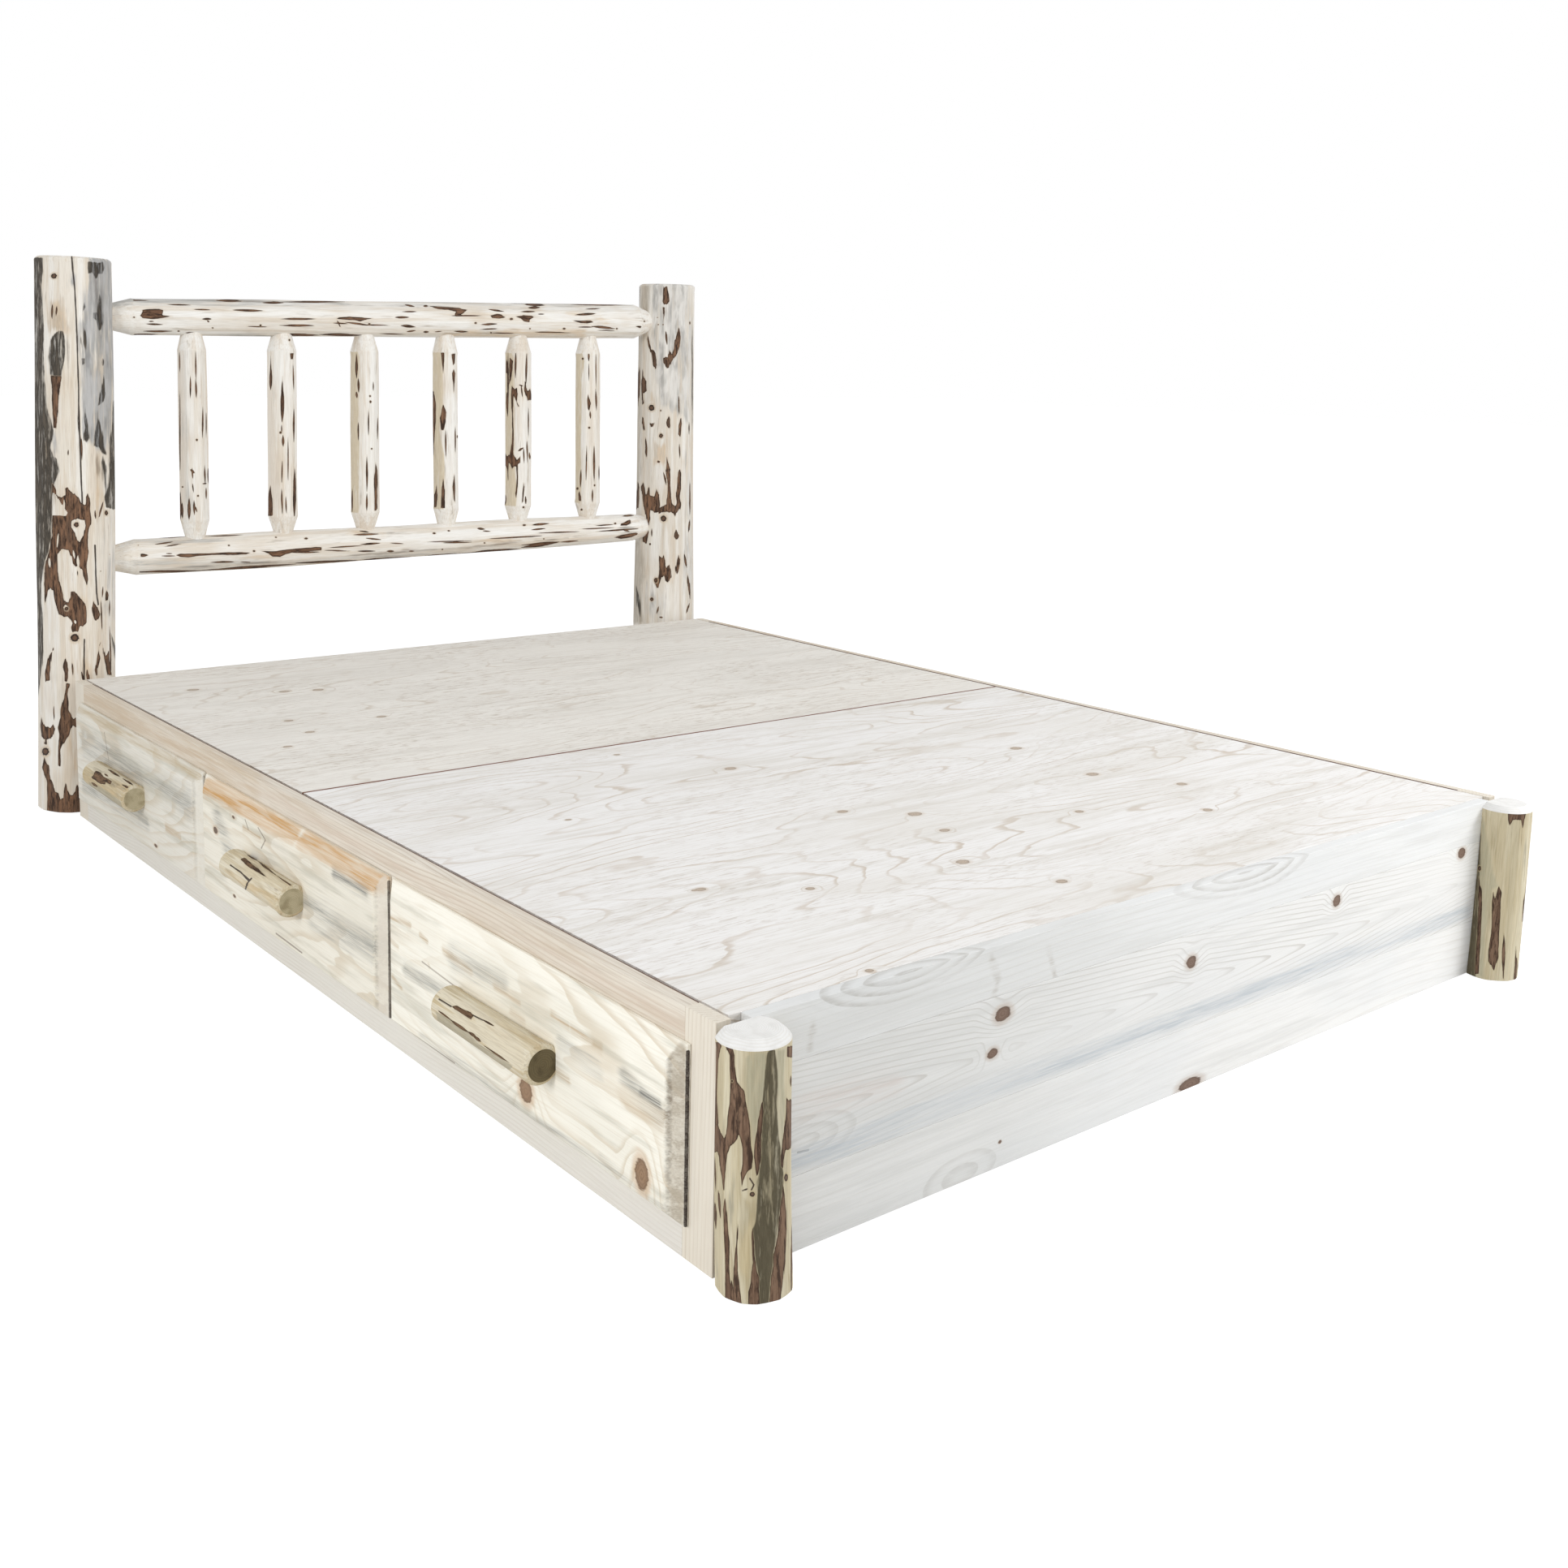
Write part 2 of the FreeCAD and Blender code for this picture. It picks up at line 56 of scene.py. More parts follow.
EYE = Vector((-1.7519, -2.4085, 0.9461))
YAW, PITCH, ROLL = 0.68589, -0.13917, 0.02168
SENSOR, LENS, SHIFT_Y = 36.0, 38.034, -0.1218
PHOTO_SIZE = 1932
FOCAL = PHOTO_SIZE * LENS / SENSOR
MIDDLE = (PHOTO_SIZE / 2, PHOTO_SIZE * (0.5 + SHIFT_Y))
FORWARD = Vector((math.sin(YAW) * math.cos(PITCH), math.cos(YAW) * math.cos(PITCH), math.sin(PITCH)))
LEVEL = Vector((math.cos(YAW), -math.sin(YAW), 0.0))
RIGHT = LEVEL * math.cos(ROLL) + LEVEL.cross(FORWARD) * math.sin(ROLL)
UP = LEVEL.cross(FORWARD) * math.cos(ROLL) - LEVEL * math.sin(ROLL)


def photo_pixels(points):
    """Where points lie in the photograph."""
    away = points - np.array(EYE)
    depth = away @ np.array(FORWARD)
    across = FOCAL * (away @ np.array(RIGHT)) / depth
    upward = FOCAL * (away @ np.array(UP)) / depth
    return MIDDLE[0] + across, MIDDLE[1] - upward


def on_plane(u, v, axis, value):
    """The place on the plane x, y or z = value (axis 0, 1 or 2) that the photograph shows at (u, v)."""
    ray = FORWARD * FOCAL + RIGHT * (u - MIDDLE[0]) + UP * (MIDDLE[1] - v)
    return EYE + ray * ((value - EYE[axis]) / ray[axis])


# Distances where no mark is near: in pixels, and as a share of a knot's size
FAR_PIXELS = 99.0
FAR_SHARE = 9.0
# How many pixels round a mark are measured
MARK_MARGIN = 12.0
# The frayed edge of a spear as a share of its width, and its limits in pixels
FRAY_SHARE, FRAY_LEAST, FRAY_MOST = 0.42, 0.4, 2.0


def line_distance(ends, u, v):
    """Pixels from the line between two ends, and how far along it the nearest point lies, from 0 to 1."""
    u0, v0, u1, v1 = ends
    du, dv = u1 - u0, v1 - v0
    t = np.clip(((u - u0) * du + (v - v0) * dv) / max(du * du + dv * dv, 1e-9), 0, 1)
    return np.hypot(u - u0 - t * du, v - v0 - t * dv), t


def spear_depth(spear, u, v):
    """How deep (u, v) lies in a pointed stroke. It is a share of its width, so that noise frays a wide one no
    more than a narrow one."""
    width = spear[4]
    widest = spear[5] if len(spear) > 5 else 0.5
    away, t = line_distance(spear[:4], u, v)
    inner = np.clip(t, 1e-4, 1) ** (math.log(0.5) / math.log(widest))
    return (width * np.sin(math.pi * inner) - away) / min(max(FRAY_SHARE * width, FRAY_LEAST), FRAY_MOST)


def patch_depth(corners, u, v):
    """Pixels from the nearest edge of a closed outline, below nought outside it."""
    points = list(zip(corners[::2], corners[1::2]))
    nearest = np.full(u.shape, FAR_PIXELS)
    inside = np.zeros(u.shape, bool)
    for (u0, v0), (u1, v1) in zip(points, points[1:] + points[:1]):
        nearest = np.minimum(nearest, line_distance((u0, v0, u1, v1), u, v)[0])
        reach = u0 + (v - v0) * (u1 - u0) / ((v1 - v0) or 1e-9)
        inside ^= ((v0 > v) != (v1 > v)) & (u < reach)
    return np.where(inside, nearest, -nearest)


def mark_depth(shapes, u, v):
    """The greatest depth of (u, v) in any of the shapes; each is only measured near itself."""
    best = np.full(u.shape, -MARK_MARGIN)
    for shape in shapes:
        spear = len(shape) < 8
        us, vs = (shape[0:4:2], shape[1:4:2]) if spear else (shape[::2], shape[1::2])
        near = (u > min(us) - MARK_MARGIN) & (u < max(us) + MARK_MARGIN)
        near &= (v > min(vs) - MARK_MARGIN) & (v < max(vs) + MARK_MARGIN)
        measure = spear_depth if spear else patch_depth
        best[near] = np.maximum(best[near], measure(shape, u[near], v[near]))
    return best


def knot_distance(knots, u, v):
    """Distance to the nearest knot as a share of its size: 1 at its rim."""
    best = np.full(u.shape, FAR_SHARE)
    for centre_u, centre_v, half_u, half_v in knots:
        best = np.minimum(best, np.hypot((u - centre_u) / half_u, (v - centre_v) / half_v))
    return best


def crack_distance(cracks, u, v):
    """Pixels from the nearest crack."""
    best = np.full(u.shape, FAR_SHARE)
    for line in cracks:
        corners = list(zip(line[::2], line[1::2]))
        for start, end in zip(corners, corners[1:]):
            best = np.minimum(best, line_distance(start + end, u, v)[0])
    return best


# Marks on the logs, read from the photograph, in its pixels. A spear is (u0, v0, u1, v1, half
# width[, where it is widest]). Eight numbers or more are the corners of a patch. Knots are (u, v, half
# width, half height), and cracks are lines.

LOG_MARKS = {}
LOG_MARKS["head_post_left"] = {
    "bark": (
        (65, 596, 70, 603, 70, 610, 75, 613, 80, 610, 80, 601, 84, 601, 87, 606, 93, 610, 98, 615, 101, 620,
         106, 623, 106, 612, 108, 608, 111, 615, 112, 632, 113, 645, 109, 652, 108, 665, 109, 680, 108, 690,
         107, 700, 109, 714, 107, 723, 104, 714, 101, 702, 97, 698, 93, 699, 90, 694, 88, 686, 84, 678,
         76, 677, 71, 682, 70, 692, 71, 705, 72, 716, 75, 722, 78, 732, 79, 740, 84, 742, 87, 735, 87, 729,
         92, 729, 97, 734, 102, 739, 105, 745, 107, 752, 107, 760, 107, 767, 103, 772, 99, 772, 97, 778,
         89, 779, 87, 773, 90, 768, 86, 763, 83, 760, 78, 760, 72, 757, 69, 745, 67, 738, 65, 728, 62, 725,
         59, 728, 57, 738, 55, 745, 54, 720, 55, 700, 57, 690, 60, 682, 64, 660, 65, 630, 64, 610),
        (62, 462, 76, 464, 74, 472, 73, 485, 72, 500, 71, 515, 69, 528, 66, 527, 65, 510, 64, 495, 64, 480),
        (64.5, 373, 64, 395, 1.4), (70, 374, 69, 391, 1.3),
        (115, 739, 118, 745, 121, 750, 124, 757, 122, 762, 117, 765, 114, 758, 113, 750),
        (131, 727, 134, 733, 133, 740, 130, 740, 130, 733), (127, 722, 126, 737, 0.8),
        (124, 738, 126, 780, 0.8), (135, 738, 135, 760, 0.8),
        (61, 806, 64, 804, 63, 815, 61, 838, 56, 840, 55, 830, 58, 815),
        (81, 810, 83, 818, 84, 826, 83, 840, 79, 840, 79, 828, 77, 822, 79, 813),
        (124, 791, 122, 800, 124, 812, 120, 822, 119, 832, 116, 826, 119, 815, 121, 803, 122, 795),
        (127, 795, 130, 808, 132, 806, 135, 800, 136, 825, 138, 832, 132, 832, 129, 815, 127, 805),
        (135, 770, 137, 830, 0.9),
        (81, 840, 86, 843, 84, 855, 85, 865, 85, 875, 88, 882, 91, 886, 97, 881, 98, 872, 97, 860, 98, 845,
         100, 843, 106, 880, 106, 905, 98, 910, 97, 900, 94, 897, 90, 894, 87, 899, 84, 908, 81, 913,
         77, 918, 74, 925, 75, 935, 75, 944, 71, 944, 71, 930, 72, 918, 73, 905, 71, 897, 74, 885, 74, 872,
         77, 865, 79, 855, 81, 848),
        (51, 880, 53, 890, 55, 895, 62, 896, 65, 893, 67, 898, 66, 905, 63, 910, 58, 911, 58, 918, 54, 917,
         55, 911, 51, 908, 50, 895),
        (55, 930, 57, 940, 60, 944, 61, 955, 65, 965, 68, 975, 72, 977, 74, 985, 78, 983, 79, 970, 81, 965,
         83, 972, 86, 979, 90, 980, 93, 974, 95, 966, 97, 972, 108, 975, 108, 1010, 58, 1010, 58, 980,
         58, 965, 55, 955, 52, 945, 54, 938), (84, 553, 84, 563, 1.0), (66, 797, 65, 803, 0.9),
        (100, 536, 101, 568, 1.2), (121, 640, 128, 615, 1.2), (117, 628, 118, 640, 0.9),
        (95, 700, 96, 712, 0.8), (89, 814, 90, 834, 1.1), (107, 822, 110, 846, 2.2),
        (100, 826, 104, 842, 1.4), (66, 868, 67, 888, 0.8),
    ),
    "islands": (
        (88, 642, 96, 639, 104, 641, 105, 648, 103, 660, 98, 668, 95, 665, 92, 655, 88, 650),
        (76, 622, 79, 620, 78, 660, 0.8), (79, 612, 78.5, 640, 1.0), (72, 655, 70, 678, 1.0),
        (96, 684, 97, 700, 1.6), (90, 676, 92, 690, 1.2), (80, 745, 82, 752, 2.5), (92, 764, 94, 769, 1.2),
        (60, 686, 62, 700, 1.6),
    ),
    # The wide first film patch, down the post's left edge, is partly inner bark and partly painted shade of the
    # side turned from the light.
    "film": (
        (30, 312, 53, 318, 53, 335, 51, 350, 52, 365, 53, 385, 54, 400, 54, 425, 54, 445, 55, 465, 57, 480,
         58, 500, 62, 515, 66, 530, 65, 540, 62, 552, 66, 562, 71, 565, 73, 580, 70, 590, 66, 600, 65, 615,
         64, 640, 64, 660, 60, 680, 56, 690, 54, 700, 51, 720, 51, 740, 53, 760, 54, 780, 54, 800, 52, 820,
         50, 840, 47, 860, 46, 900, 30, 905),
        (108, 322, 127, 323, 129, 330, 126, 338, 122, 338, 120, 343, 117, 343, 113, 336, 108, 338, 107, 330),
        (104, 372, 106, 378, 103, 384, 101, 386, 102, 378),
        (122, 362, 125, 368, 126, 380, 128, 388, 128, 398, 124, 407, 121, 408, 119, 395, 115, 392, 115, 386,
         120, 385, 121, 372),
        (72, 407, 78, 408, 80, 418, 81, 432, 80, 445, 77, 455, 76, 465, 70, 468, 64, 467, 61, 460, 60, 450,
         59, 440, 60, 430, 62, 420, 65, 413), (100, 441, 105, 441, 104.5, 449, 101, 450),
        (103, 400, 106, 436, 2.2), (99, 410, 101, 430, 1.2), (127, 441, 127, 452, 1.3),
        (128, 462, 130, 475, 131, 485, 128, 495, 122, 500, 120, 500, 123, 487, 125, 475),
        (105, 500, 107, 512, 109, 525, 110, 540, 107, 546, 103, 543, 102, 535, 104, 527, 103, 515),
        (121, 500, 122, 515, 125, 525, 128, 540, 129, 552, 131, 560, 127, 560, 121, 551, 115, 550, 116, 535,
         118, 525, 120, 515),
        (150, 480, 139, 495, 138, 520, 135, 545, 134, 575, 133, 600, 128, 612, 130, 625, 139, 628, 150, 628),
        (127, 560, 131, 575, 132, 600, 130, 610, 128, 590, 125, 570), (96, 500, 98, 540, 1.6),
        (137, 780, 150, 840, 2.5),
    ),
    "grey": (
        (108, 316, 150, 316, 150, 500, 132, 560, 118, 552, 108, 546, 100, 530, 101, 450, 98, 400, 104, 365,
         107, 345), (84, 344, 92, 350, 5), (66, 535, 72, 545, 74, 560, 70, 556), (134, 640, 138, 760, 5),
    ),
    # The two dark strokes down the left edge, at u 46 to 62, are painted shade.
    "dark": ((112, 560, 135, 600, 4), (116, 335, 124, 410, 4), (46, 420, 48, 640, 9), (60, 560, 62, 640, 6)),
    "tan": (
        (60, 370, 74, 370, 82, 395, 81, 408, 70, 408, 61, 408, 60, 395), (90, 540, 104, 560, 4),
        (86, 398, 88, 412, 3), (118, 565, 124, 660, 6), (56, 545, 58, 570, 3), (88, 728, 107, 758, 8),
        (86, 905, 96, 960, 6), (70, 640, 78, 680, 5), (95, 812, 97, 832, 2), (104, 815, 112, 838, 3),
    ),
    "cracks": (
        (88, 312, 90, 335, 92, 355, 93, 375, 94, 395, 95, 420, 95.5, 440, 97, 480, 97, 500, 98, 530, 99, 560,
         100, 590, 101.5, 620), (117, 672, 118, 700, 119, 730, 121, 745), (104, 788, 103.5, 815, 104, 842),
    ),
    "knots": (
        (66.5, 340, 3.6, 3.4), (94, 646.5, 3.2, 3.2), (92, 786, 5.2, 5.0), (56, 926, 4.5, 5),
        (82, 750, 2.5, 2.5), (124, 704, 0.8, 0.8), (135, 683, 0.8, 0.8), (131, 632, 2.2, 3.2),
    ),
}
LOG_MARKS["head_post_right"] = {
    "bark": (
        (818, 353, 822, 353, 824, 362, 825, 370, 823, 375, 818, 376, 816, 372, 817, 362),
        (816, 378, 820, 378, 820, 385, 818, 397, 817, 392, 816, 385), (820, 407, 822, 425, 1.3),
        (836, 402, 838, 410, 839, 417, 838, 427, 834, 436, 830, 442, 827, 448, 824, 454, 822, 454, 820, 450,
         817, 447, 817, 441, 820, 440, 822, 440, 825, 430, 826, 432, 828, 436, 830, 430, 831, 420, 834, 412),
        (798, 412, 800, 420, 803, 430, 806, 434, 808, 435, 809, 450, 808, 454, 805, 450, 803, 438, 800, 430,
         797, 418), (788, 450, 789, 470, 788, 490, 786, 500, 785, 480, 786, 460),
        (792, 455, 793, 465, 796, 470, 797, 482, 793, 485, 793, 497, 791, 500, 790, 480, 791, 465),
        (824, 511, 826, 517, 826, 525, 825, 528, 822, 525, 821, 520, 823, 516),
        (800, 521, 806, 521, 805, 526, 802, 527), (791, 512, 794, 520, 795, 530, 793, 531, 791, 522),
        (839, 515, 840, 522, 839, 533, 838, 538, 836, 535, 836, 525, 838, 517),
        (795, 538, 797, 545, 798, 556, 797, 566, 795, 558), (837, 545, 838, 566, 0.9),
        (849, 516, 849, 538, 0.8),
        (821, 560, 823, 568, 825, 578, 826, 595, 827, 612, 829, 621, 832, 624, 834, 620, 833, 612, 834, 600,
         834, 590, 836, 580, 838, 578, 839, 583, 839, 600, 838, 612, 839, 622, 837, 628, 833, 632, 832, 637,
         829, 632, 826, 631, 818, 631, 812, 633, 811, 628, 815, 624, 821, 621, 822, 612, 823, 600, 822, 590,
         820, 580, 821, 572), (817, 580, 821, 598, 1.2),
        (792, 593, 794, 600, 796, 610, 800, 598, 801, 610, 806, 612, 809, 602, 812, 610, 813, 622, 811, 631,
         806, 632, 801, 628, 801, 640, 799, 650, 797, 640, 794, 628, 791, 612, 790, 600),
        (786, 594, 788, 600, 788, 612, 787, 625, 784, 628, 784, 610),
        (833, 652, 837, 660, 836, 663, 833, 665, 830, 661, 831, 656),
        (797, 650, 799, 655, 797, 670, 794, 668, 791, 668, 792, 662, 796, 655),
        (812, 684, 816, 688, 818, 683, 820, 690, 820, 697, 821, 700, 825, 695, 827, 703, 827, 712, 823, 718,
         820, 715, 818, 710, 815, 712, 813, 718, 811, 724, 809, 724, 806, 716, 807, 712, 811, 712, 812, 700),
        (836, 682, 838, 690, 837, 700, 835, 708, 833, 707, 832, 700, 834, 692), (847, 706, 850, 738, 1.5),
        (850, 742, 845, 757, 1.3), (850, 590, 850, 640, 0.9), (850, 640, 848, 657, 1.1),
        (812, 746, 809, 757, 1.2), (811, 567, 812, 571, 1.6), (803, 650, 803, 662, 0.9),
        (801, 669, 801, 672, 1.2), (836, 485, 837, 512, 1.0), (843, 682, 846, 700, 1.4),
        (811, 760, 817, 761, 1.0),
    ),
    # Painted shade: the film patches at the left edge, near u 780, darken the post's side turned from the key
    # light.
    "film": (
        (779, 712, 780, 735, 0.9), (783, 345, 789, 345, 789, 362, 788, 378, 783, 382, 778, 382),
        (784, 722, 789, 760, 2.4), (853, 380, 853, 545, 0.9),
    ),
    # Painted shade: the veil patches are a band down the post's left side, turned from the key light.
    "veil": (
        (789, 345, 803, 347, 801, 362, 800, 380, 799, 390, 793, 386, 788, 378),
        (776, 412, 796, 413, 792, 425, 791, 450, 791, 510, 790, 560, 788, 600, 776, 600),
        (770, 662, 790, 668, 795, 690, 796, 710, 791, 722, 791, 740, 794, 768, 770, 770),
    ),
    "grey": (
        (800, 345, 850, 346, 852, 480, 848, 520, 812, 500, 800, 420), (800, 725, 812, 768, 12),
        (846, 560, 848, 760, 6),
    ),
    # Painted shade: these dark strokes also lie on the left edge.
    "dark": ((782, 725, 790, 765, 4), (779, 600, 784, 640, 2)),
    "tan": (
        (807, 547, 823, 547, 822, 572, 812, 572, 806, 572), (796, 600, 812, 632, 5), (840, 560, 842, 580, 2),
        (843, 680, 847, 700, 3), (821, 700, 827, 718, 3), (803, 485, 806, 500, 2),
    ),
    "knots": (
        (802.8, 502.5, 3.7, 3.8), (814.4, 537, 2.6, 2.8), (814, 506, 0.9, 1.2), (817.5, 639, 3.8, 3.8),
        (803, 738.5, 2.3, 2.4), (808, 715, 2.4, 3), (811, 400, 0.9, 0.8), (817, 400, 0.9, 0.9),
        (810, 391, 0.9, 0.7), (850, 398, 0.8, 2),
    ),
}
LOG_MARKS["head_rail_upper"] = {
    "bark": (
        (173, 389, 176, 384, 175, 382, 183, 381, 196, 381, 201, 382, 200, 388, 208, 389, 214, 390, 206, 391,
         199, 392, 188, 393, 176, 392), (179, 399, 201, 400, 1.1), (183, 396, 190, 396, 0.8),
        (176, 408, 214, 408, 1.3), (159, 412, 198, 412, 1.2), (148, 370, 186, 370, 0.8),
        (204, 375, 238, 376, 0.9), (237, 381, 262, 382, 0.8), (248, 393, 262, 393, 1.5),
        (255, 395, 258, 397, 1.1), (286, 382, 326, 383, 1.4), (302, 402, 334, 403, 0.7),
        (265, 370, 300, 371, 1.7), (322, 373, 350, 373, 1.5), (345, 372, 425, 372, 1.3),
        (228, 410, 242, 410, 0.9), (343, 393, 391, 393, 1.4), (344, 401, 388, 401, 1.5),
        (343, 412, 395, 413, 1.5), (391, 412, 448, 413, 1.7),
        (414, 393, 418, 391, 430, 390, 446, 391, 460, 392, 452, 394, 444, 396, 438, 395, 425, 394),
        (410, 398, 430, 399, 0.9), (415, 394, 420, 404, 0.8), (425, 397, 458, 401, 1.2),
        (440, 400, 482, 401, 0.9), (497, 375, 512, 378, 1.3), (495, 384, 515, 384, 0.9),
        (485, 391, 505, 391, 1.5), (493, 401, 513, 403, 1.9), (500, 409, 513, 407, 1.0),
        (521, 377, 528, 377, 1.4),
        (529, 377, 545, 378, 566, 379, 570, 381, 576, 382, 572, 385, 568, 388, 562, 390, 560, 388, 562, 384,
         552, 382, 540, 381), (550, 389, 598, 389, 1.0), (558, 408, 578, 409, 1.2),
        (521, 409, 529, 409, 1.4), (534, 409, 546, 408, 0.8), (601, 381, 622, 384, 1.2),
        (604, 389, 612, 387, 618, 388, 622, 391, 615, 393, 606, 392), (592, 400, 613, 399, 1.4),
        (590, 406, 616, 405, 0.9),
        (636, 390, 645, 388, 655, 389, 658, 391, 653, 394, 652, 397, 646, 396, 641, 392),
        (640, 384, 661, 384, 1.2), (645, 375, 673, 376, 1.8), (650, 379, 666, 379, 1.6),
        (625, 374, 720, 373, 0.8), (656, 409, 705, 410, 0.8), (661, 387, 672, 387, 0.8),
        (708, 388, 736, 386, 1.6), (706, 395, 716, 395, 728, 395, 731, 397, 724, 399, 716, 398),
        (728, 402, 759, 405, 1.6), (710, 403, 732, 403, 0.8), (720, 381, 742, 380, 0.9),
        (700, 375, 772, 376, 1.1), (783, 402, 795, 404, 1.4), (735, 407, 762, 407, 0.7),
        (600, 410, 640, 411, 0.8), (465, 411, 500, 412, 0.7),
    ),
    "tan": (
        (545, 405, 720, 407, 720, 416, 545, 416), (640, 390, 665, 391, 4), (648, 378, 672, 378, 4),
        (712, 382, 748, 398, 5), (700, 386, 735, 388, 3),
    ),
    "grey": (
        (137, 360, 430, 368, 430, 374, 200, 376, 137, 378), (430, 370, 780, 374, 3), (200, 412, 420, 416, 2),
    ),
    "dark": ((140, 366, 420, 372, 1.5),),
    "knots": (
        (630, 393, 2.2, 1.4), (321, 401, 1.4, 1.4), (262, 404, 1.2, 0.9), (220, 408, 1.4, 0.9),
        (165, 391, 1.4, 1), (455, 399, 1.4, 1), (586, 398, 1.6, 1.2), (695, 405, 1.8, 1.2),
        (760, 405, 1.2, 1), (794, 396, 1.1, 1), (653, 405, 1, 0.9), (605, 410, 1.2, 1),
    ),
}
LOG_MARKS["head_rail_lower"] = {
    "bark": (
        (169, 684, 183, 684, 1.8),
        (217, 684, 222, 682, 240, 682, 260, 681, 280, 680, 300, 680, 309, 681, 303, 683, 280, 684, 260, 684,
         245, 685, 232, 687, 222, 686), (199, 685, 217, 685, 0.7), (204, 682, 213, 682, 0.7),
        (258, 693, 294, 692, 1.1), (292, 692, 313, 693, 0.7),
        (322, 679, 340, 679, 355, 677, 375, 675, 388, 674, 397, 674, 396, 678, 385, 679, 365, 680, 352, 683,
         345, 686, 336, 686, 331, 682), (355, 681, 397, 680, 1.0), (397, 678, 433, 679, 0.8),
        (438, 679, 463, 679, 1.1), (476, 679, 486, 679, 1.3), (503, 679, 511, 679, 0.9),
        (479, 669, 499, 670, 0.8), (400, 675, 452, 672, 0.8), (443, 671, 470, 669, 1.3),
        (450, 663, 470, 665, 0.9), (432, 659, 469, 658, 1.2), (160, 705, 255, 703, 1.3),
        (245, 703, 365, 695, 1.6), (355, 694, 452, 690, 1.4), (440, 690, 528, 686, 1.6),
        (510, 687, 562, 682, 1.3), (545, 684, 622, 680, 1.7), (570, 682, 642, 676, 1.9),
        (640, 675, 692, 667, 2.3), (690, 668, 714, 666, 1.1),
        (757, 662, 765, 659, 775, 657, 784, 656, 788, 658, 778, 662, 765, 664), (658, 657, 714, 655, 0.9),
        (712, 652, 762, 650, 0.8), (733, 655, 792, 651, 1.0), (600, 664, 672, 660, 1.0),
        (654, 647, 677, 645, 1.4), (654, 653, 673, 651, 1.0), (587, 651, 598, 652, 1.5),
        (594, 654, 605, 655, 0.8), (520, 668, 587, 666, 0.7), (543, 669, 582, 668, 0.9),
        (765, 636, 783, 635, 1.2), (756, 632, 792, 628, 1.4),
        (770, 643, 776, 640, 778, 645, 772, 648, 764, 648, 765, 645), (733, 648, 758, 646, 0.9),
        (253, 661, 300, 659, 0.8), (195, 663, 230, 661, 0.9), (190, 671, 216, 667, 0.9),
        (200, 674, 224, 670, 0.8), (442, 654, 456, 656, 0.9), (640, 672, 690, 667, 1.2),
        (766, 652, 776, 655, 1.2),
    ),
    "grey": (
        (765, 651, 788, 652, 3.5), (150, 694, 330, 692, 3), (160, 668, 300, 664, 2.5),
        (400, 688, 560, 683, 2),
    ),
    "tan": (
        (188, 671, 226, 669, 3), (430, 654, 470, 658, 3), (250, 688, 420, 684, 2.5), (560, 668, 640, 664, 2),
    ),
    "dark": ((766, 650, 784, 656, 3), (220, 702, 700, 664, 1.2)),
    "knots": (
        (377, 663.5, 2.2, 1.2), (535, 657, 1.9, 1.2), (313, 679, 1.7, 1.3), (282, 672, 1.3, 1),
        (340, 662, 1.3, 0.9), (758, 645, 1.5, 1.1), (545, 677, 1.1, 0.9), (597, 669, 1.1, 0.9),
        (646, 647, 2.1, 1.2), (670, 664, 1, 0.8), (170, 672, 1, 0.8), (553, 654, 1.6, 0.9),
    ),
}
LOG_MARKS["spindle_1"] = {
    "bark": (
        (241, 431, 241.5, 470, 1.0), (234.5, 462, 234.5, 492, 1.0), (241, 466, 242, 492, 1.2),
        (250, 500, 249.5, 541, 0.9), (254, 503, 254, 541, 0.8), (221, 431, 221.5, 462, 0.9),
        (221.5, 463, 222, 600, 0.8), (234, 578, 240, 583, 1.3), (236.5, 576, 237.5, 590, 0.9),
        (237, 595, 238.5, 607, 0.8), (252, 572, 253, 598, 1.1), (256.5, 576, 257, 597, 1.3),
        (249, 596, 256, 596, 0.8), (254, 600, 254, 616, 1.0), (222, 603, 222, 646, 1.7),
        (224.5, 617, 225, 641, 1.4), (233, 610, 233, 643, 2.3), (239, 616, 239.5, 635, 1.3),
        (241, 624, 243, 632, 0.9),
    ),
    "tan": ((236, 584, 238, 592, 3),),
    "grey": ((231, 596, 234, 640, 5), (224, 500, 227, 540, 3)),
    "knots": ((242.5, 542, 1.4, 1.4), (244, 611, 1.2, 1.2), (225, 600, 1.1, 1)),
    # Painted shade down the spindle's left side, turned from the key light, partly beige inner bark.
    "veil": ((210, 420, 222, 425, 228, 432, 229, 480, 230, 560, 230, 650, 210, 650),),
}
LOG_MARKS["spindle_2"] = {
    "bark": (
        (333.5, 431, 333.5, 480, 1.8, 0.75), (337, 413, 337, 431, 1.0),
        (333, 598, 335, 610, 336, 620, 336, 635, 331, 636, 329, 632, 330, 615),
        (348, 464, 347.5, 523, 2.4, 0.6), (348.5, 536, 349, 551, 1.5), (355, 538, 355, 597, 0.8),
        (348, 565, 347, 600, 0.9), (347, 600, 348, 637, 1.3), (361, 447, 362, 483, 1.0),
        (362, 498, 362, 545, 1.1), (363, 575, 363, 645, 1.9), (352, 611, 353, 633, 0.9),
        (357, 435, 362, 435, 361, 443, 358, 443), (347, 522, 347, 536, 0.8),
    ),
    "knots": ((356.5, 419, 1.2, 1.3), (345.5, 533, 1.4, 1.5)),
    # Painted shade down the spindle's left side, turned from the key light, partly beige inner bark.
    "veil": ((320, 425, 337, 428, 338, 480, 340, 560, 339, 640, 320, 642),),
    "tan": ((335, 475, 338, 500, 3),),
}
